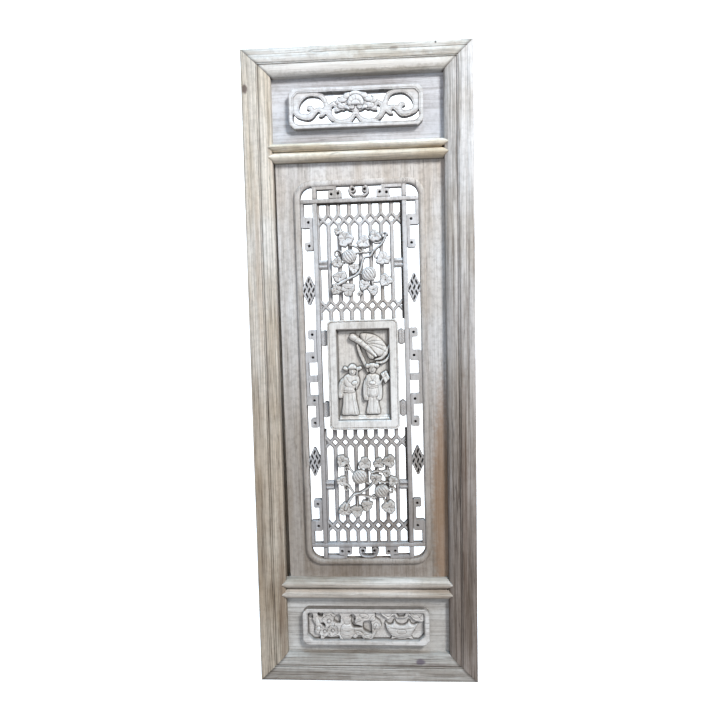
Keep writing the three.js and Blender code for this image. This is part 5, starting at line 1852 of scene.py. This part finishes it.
@dataclass
class FretLattice(Dressed):
    """The bars, frets and cleats of the open fretwork, with dirt and painted shade that darken them at some
    depths.
    """

    flat: str = "bar_"
    carved: tuple[str, ...] = ("cleat_bamboo", "fret_")
    bevel: float = 1.5
    fine: float = 0.65
    front: float = 28.0
    sunk_front: float = 26.0
    depth: float = 14.0
    back: float = 16.0

    def build(self) -> dict[str, bpy.types.Object]:
        """Makes worn copies of every lattice piece.

        Returns:
            Each piece by its node.
        """
        pieces = {}
        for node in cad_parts:
            front = self.front
            if node.startswith(self.carved):
                pieces[node] = worn_copy(node, 0.0, self.fine)
                smooth(pieces[node], CARVED_EDGE)
                depths, marks = (0.2, 0.9, self.depth, self.back), (0, 0.45, 0.9, 0.25)
            elif node.startswith(self.flat):
                pieces[node] = worn_copy(node, self.bevel)
                smooth(pieces[node], FLAT_EDGE)
                depths, marks = (0.0, self.bevel, self.depth, self.back), (0, 0.72, 0.95, 0.25)
            else:
                continue
            if node.startswith("cleat_bamboo"):
                front, depths, marks = self.sunk_front, (0.5, 4.0, self.depth), (0, 0.5, 0.25)
            # Dirt and painted shade: walls and undersides darken with depth behind the front.
            soil_and_shade(pieces[node], lambda x, t, z: np.interp(front - t, depths, marks))
        return pieces


@dataclass
class LozengeScreen(Dressed):
    """The pierced screen of upright slats that cross in two rows of lozenges."""

    name: str
    foot: float
    upward: int
    head: float = 369.7
    half_x: float = 89.7
    columns: int = 8
    slat: float = 8.8
    band: float = 8.6
    lozenge: float = 23.6
    border: float = 3.6
    rows: tuple[float, float] = (0.12, 0.86)
    step: float = 0.75
    low: float = 12.2
    front: float = 22.0

    @property
    def pitch(self) -> float:
        """Distance between slats."""
        return 2 * (self.half_x + 0.3) / self.columns

    def gable(self, left: float, x: float, right: float, row: float, way: int) -> list[Point]:
        """The pointed end of a hole between two slats.

        Args:
            left: The hole's left side.
            x: Where its point is.
            right: Its right side.
            row: Height of the row of lozenges beside it.
            way: Whether the hole lies above (1) or below (-1) the row.

        Returns:
            Three points from left to right.
        """
        inset = self.band * 0.6
        left_y, right_y = [row + way * (self.lozenge * abs(edge - x) / self.pitch + inset)
                           for edge in (left, right)]
        return [(left, left_y), (x, row + way * inset), (right, right_y)]

    def openings(self) -> list[list[Point]]:
        """Outlines of the holes, with the foot at the picture panel and the head at the end bar.

        Returns:
            One outline for each hole.
        """
        pitch, inset = self.pitch, self.band * 0.6
        rows = [self.foot + share * (self.head - self.foot) for share in self.rows]
        holes = []
        for column in range(self.columns):
            x = (column - (self.columns - 1) / 2) * pitch
            left = x - (pitch - self.slat) / 2 - (self.slat if column == 0 else 0)
            right = x + (pitch - self.slat) / 2 + (self.slat if column == self.columns - 1 else 0)
            ends = [[(left, self.foot - 1), (right, self.foot - 1)]]
            for row in rows:
                ends += [self.gable(left, x, right, row, -1), self.gable(left, x, right, row, 1)]
            ends.append([(left, self.head + 1), (right, self.head + 1)])
            holes += [lower + upper[::-1] for lower, upper in zip(ends[::2], ends[1::2])]
        wide, tall = pitch / 2 - inset, self.lozenge / 2 - inset
        for line in range(self.columns + 1):
            x = (line - self.columns / 2) * pitch
            holes += [[(x - wide, y), (x, y - tall), (x + wide, y), (x, y + tall)] for y in rows]
        return holes

    def build(self) -> bpy.types.Object:
        """Makes the screen.

        Returns:
            The screen.
        """
        middle = (self.foot + self.head) / 2
        half_y = (self.head - self.foot) / 2
        wood = Carving(self.half_x, half_y, self.step, self.front, True)
        edge = wood.area([(-self.half_x, -half_y), (self.half_x, -half_y), (self.half_x, half_y),
                          (-self.half_x, half_y)])
        wood.solid = np.full(wood.x.shape, 1e3)
        for hole in self.openings():
            wood.pierce(wood.area([(x, (y - middle) * self.upward) for x, y in hole]))
        wood.solid = np.maximum(wood.solid, self.border - self.half_x + np.abs(wood.x))
        if self.upward > 0:
            wood.solid = np.maximum(wood.solid, self.border * 0.5 - half_y + wood.y)
        wood.soften(2.0)
        wood.soften(0.7)
        wood.solid = np.minimum(wood.solid, edge + self.step * 0.2)
        # Painted shadow: dark bands along the screen's top edge, under what stands proud above it, and along
        # its right edge beside the bar.
        shade = 1 - ease(half_y - wood.y, 1.5, 7.5)
        wood.dirt_and_shade = np.maximum(0.85 * shade, 0.85 * (1 - ease(self.half_x - wood.x, 3.2, 5.2)))
        return wood.build(self.name, LEAF_SEAT.on(0, middle * self.upward), self.low, self.front - 4)


@dataclass
class InterlacedKnot(Dressed):
    """The lozenge of crossing bands in a side channel."""

    name: str
    seat: Seat
    half_x: float = 13.4
    half_y: float = 31.0
    weave: float = 0.7
    step: float = 0.45
    low: float = 12.2
    front: float = 28.0

    def build(self) -> bpy.types.Object:
        """Makes the knot.

        Returns:
            The knot.
        """
        wood = Carving(self.half_x + 1, self.half_y + 1, self.step, self.front - 1.0, True)
        outline = wood.area([(-self.half_x, -6), (-2, -self.half_y), (2, -self.half_y), (self.half_x, -6),
                             (self.half_x, 6), (2, self.half_y), (-2, self.half_y), (-self.half_x, 6)])
        rising = (wood.x / self.half_x + wood.y / self.half_y) / self.weave
        falling = (wood.x / self.half_x - wood.y / self.half_y) / self.weave
        turned = (np.round(rising) + np.round(falling)) % 2 > 0.5
        rising, falling = rising - np.round(rising), falling - np.round(falling)
        across = np.abs(np.where(turned, rising, falling))
        along = np.abs(np.where(turned, falling, rising))
        pits = (1 - ease(across, 0.12, 0.22)) * (1 - ease(along, 0.32, 0.42))
        wood.height -= 7.0 * ease(outline, 1.2, 2.0) * pits
        wood.solid = outline
        wood.soften(0.9)
        return wood.build(self.name, self.seat, self.low, self.front - 5)


@dataclass
class LeafCleat(Dressed):
    """A small ribbed leaf between the picture panel and an upright bar."""

    name: str
    seat: Seat
    half_x: float = 6.7
    half_y: float = 17.5
    step: float = 0.4
    low: float = 12.2
    front: float = 30.0

    def build(self) -> bpy.types.Object:
        """Makes the cleat.

        Returns:
            The cleat.
        """
        wood = Carving(self.half_x + 0.3, self.half_y + 1, self.step, self.front - 2.5, False)
        lobe = 0.5 * np.abs(np.sin(wood.y * math.pi / 8.5))
        outline = wood.oval(0, 0, self.half_x + 2.2, self.half_y) + lobe
        outline = np.minimum(outline, self.half_x - np.abs(wood.x))
        wood.mound(outline, self.front - 1.8, self.front - 0.6, 3.5)
        ribs = np.cos((wood.y * 0.9 + np.abs(wood.x) * 1.1) * math.pi / 2.6)
        wood.height -= 0.4 * ease(ribs, -0.2, 0.9) * ease(outline, 0.6, 1.6)
        wood.groove([(0, -self.half_y), (0, self.half_y)], 0.8, 0.5, outline)
        wood.soften(0.5)
        return wood.build(self.name, self.seat, self.low, self.front - 6)


@dataclass
class TwinCurl(Dressed):
    """The bowl of two inward curls in the middle of an end channel."""

    name: str
    seat: Seat
    half_x: float = 25.0
    half_y: float = 14.0
    low: float = 12.2
    front: float = 28.0
    step: float = 0.45
    bowl: Route = ((0, -9.6), (9, -9.0), (16.5, -4.5), (19.4, 1.5), (18, 8.0))

    def build(self) -> bpy.types.Object:
        """Makes the curls.

        Returns:
            The curls.
        """
        wood = Carving(self.half_x, self.half_y, self.step, self.front - 1.4, False)
        edge, tab = self.front - 2.4, self.front - 1.6
        for side in (-1, 1):
            wood.band([(side * x, y) for x, y in self.bowl], (5.6, 6.4), edge, self.front)
            wood.mound(wood.oval(side * 13.6, 4.6, 7.6, 7.2), edge, self.front, 3.0, 0.8)
            hanger = [(side * 12, 8), (side * 18, 8), (side * 18, 13.2), (side * 12, 13.2)]
            wood.add(wood.area(hanger), tab)
            eye = wood.oval(side * 12.4, 4.4, 3.0, 3.0)
            wood.height -= 9.0 * ease(eye, -0.3, 0.6)
            wood.groove([(side * 12.4, 9.0), (side * 17, 5), (side * 14, 0)], 0.8, 1.6)
        wood.add(wood.area([(-3, -13.2), (3, -13.2), (3, -9), (-3, -9)]), tab)
        wood.soften(0.8)
        return wood.build(self.name, self.seat, self.low, self.front - 6)


@dataclass(frozen=True)
class Lamp:
    """One soft square light; places and size in metres, power in watts."""

    name: str
    place: tuple[float, float, float]
    aim: tuple[float, float, float]
    size: float
    power: float
    colour: tuple[float, float, float]

    def build(self) -> None:
        """Makes the light and turns it to what it shines on."""
        lamp = bpy.data.lights.new(self.name, "AREA")
        lamp.shape = "SQUARE"
        lamp.size = self.size
        lamp.energy = self.power
        lamp.color = self.colour
        holder = bpy.data.objects.new(self.name, lamp)
        bpy.context.scene.collection.objects.link(holder)
        holder.location = self.place
        holder.rotation_euler = (Vector(self.aim) - Vector(self.place)).to_track_quat("-Z", "Y").to_euler()


LAMPS = (
    Lamp("key_light", (1.5, -2.2, 1.25), (0.0, 0.0, -0.65), 0.7, 92.0, (1.0, 0.99, 0.97)),
    Lamp("fill_light", (-0.9, -2.4, -1.1), (0.0, 0.0, -0.6), 1.6, 12.0, (0.97, 0.98, 1.0)),
    Lamp("sky_light", (0.0, -0.4, 3.2), (0.0, 0.0, -1.0), 1.4, 150.0, (0.4, 0.72, 1.0)))


@dataclass
class Studio:
    """Camera, lights and a plain pale surround."""

    place: tuple[float, float, float] = (0.0594, -1.2296, -0.5391)
    turn: tuple[float, float, float] = (86.05076645, 1.22342393, 2.97912917)
    lens: float = 28.0
    floor: float = -1.45
    behind: float = 1.6
    sheet: float = 8.0
    sky: tuple[float, float, float, float] = (0.9, 0.93, 1.0, 1.0)
    sky_strength: float = 0.34

    def surround(self) -> None:
        """A pale floor and a pale wall behind."""
        bpy.ops.mesh.primitive_plane_add(size=self.sheet, location=(0, 0, self.floor))
        floor = bpy.context.active_object
        floor.name = "studio_floor"
        bpy.ops.mesh.primitive_plane_add(size=self.sheet, location=(0, self.behind, 0),
                                         rotation=(math.pi / 2, 0, 0))
        wall = bpy.context.active_object
        wall.name = "studio_wall"
        pale = PlainSurface("studio_paper", "f4f4f4", 1.0).build()
        for sheet in (floor, wall):
            sheet.data.materials.append(pale)
            sheet.visible_diffuse = False
            sheet.visible_glossy = False

    def build(self) -> None:
        """Sets the camera, the lights and the background."""
        lens = bpy.data.cameras.new("front_camera")
        lens.lens = self.lens
        camera = bpy.data.objects.new("front_camera", lens)
        bpy.context.scene.collection.objects.link(camera)
        camera.location = self.place
        camera.rotation_euler = [math.radians(a) for a in self.turn]
        bpy.context.scene.camera = camera
        bpy.context.scene.view_settings.view_transform = "Standard"
        self.surround()
        for lamp in LAMPS:
            lamp.build()
        world = bpy.data.worlds.new("pale_sky")
        world.use_nodes = True
        background = world.node_tree.nodes["Background"]
        background.inputs["Color"].default_value = self.sky
        background.inputs["Strength"].default_value = self.sky_strength
        bpy.context.scene.world = world


UPPER_SCREEN_FOOT = 121.8
LOWER_SCREEN_FOOT = 115.8
KNOT_X, KNOT_Y = 112.75, 187.1
CLEAT_X, CLEAT_Y, CLEAT_LIFT = 83.0, 77.5, 6.0
CURL_Y = 391.8
VINE_Y = 242


def main() -> None:
    """Builds the leaf and its studio."""
    logging.basicConfig(level=logging.INFO, format="%(message)s")
    Studio().build()
    woods = {finish: wood.build() for finish, wood in WOODS.items()}

    OuterFrame().make(woods)
    for rail in (DoubleRoll("rail_mid_upper", -163.0, -203.0, 0.46, seed=2),
                 DoubleRoll("rail_mid_lower", -1105.0, -1151.0, 0.50, seed=8)):
        rail.make(woods, rail.name)

    for node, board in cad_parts.items():
        if node.startswith(("board_", "leaf_board_")):
            wood = Finish.LEAF_BOARD if node.startswith("leaf_") else Finish.BOARD
            board.data.materials.clear()
            board.data.materials.append(woods[wood])

    RoundedBorder().make(woods)
    FretLattice().make(woods)
    for height, up, foot in (("upper", 1, UPPER_SCREEN_FOOT), ("lower", -1, LOWER_SCREEN_FOOT)):
        parts = {f"lattice_{height}": LozengeScreen(f"carved_lattice_{height}", foot, up)}
        for hand, side in (("left", -1), ("right", 1)):
            node, seat = f"knot_{height}_{hand}", LEAF_SEAT.on(side * KNOT_X, up * KNOT_Y)
            parts[node] = InterlacedKnot(f"carved_{node}", seat)
        for hand, side in (("left", -1), ("right", 1)):
            node = f"cleat_leaf_{height}_{hand}"
            parts[node] = LeafCleat(f"carved_{node}", LEAF_SEAT.on(side * CLEAT_X, up * CLEAT_Y + CLEAT_LIFT))
        parts[f"scroll_{height}"] = TwinCurl(f"carved_scroll_{height}", LEAF_SEAT.on(0, up * CURL_Y))
        for node, part in parts.items():
            part.make(woods, node)

    carvings = {
        "cartouche_top": ScrollPlaque(), "cartouche_bottom": VesselPlaque(), "picture_panel": FigurePanel(),
        "applique_upper": VineCarving("carved_vine_upper", LEAF_SEAT.on(0, VINE_Y), UPPER_VINE),
        "applique_lower": VineCarving("carved_vine_lower", LEAF_SEAT.on(1, -VINE_Y), LOWER_VINE),
    }
    for node, carving in carvings.items():
        carving.make(woods, node)


if __name__ == "__main__":
    main()
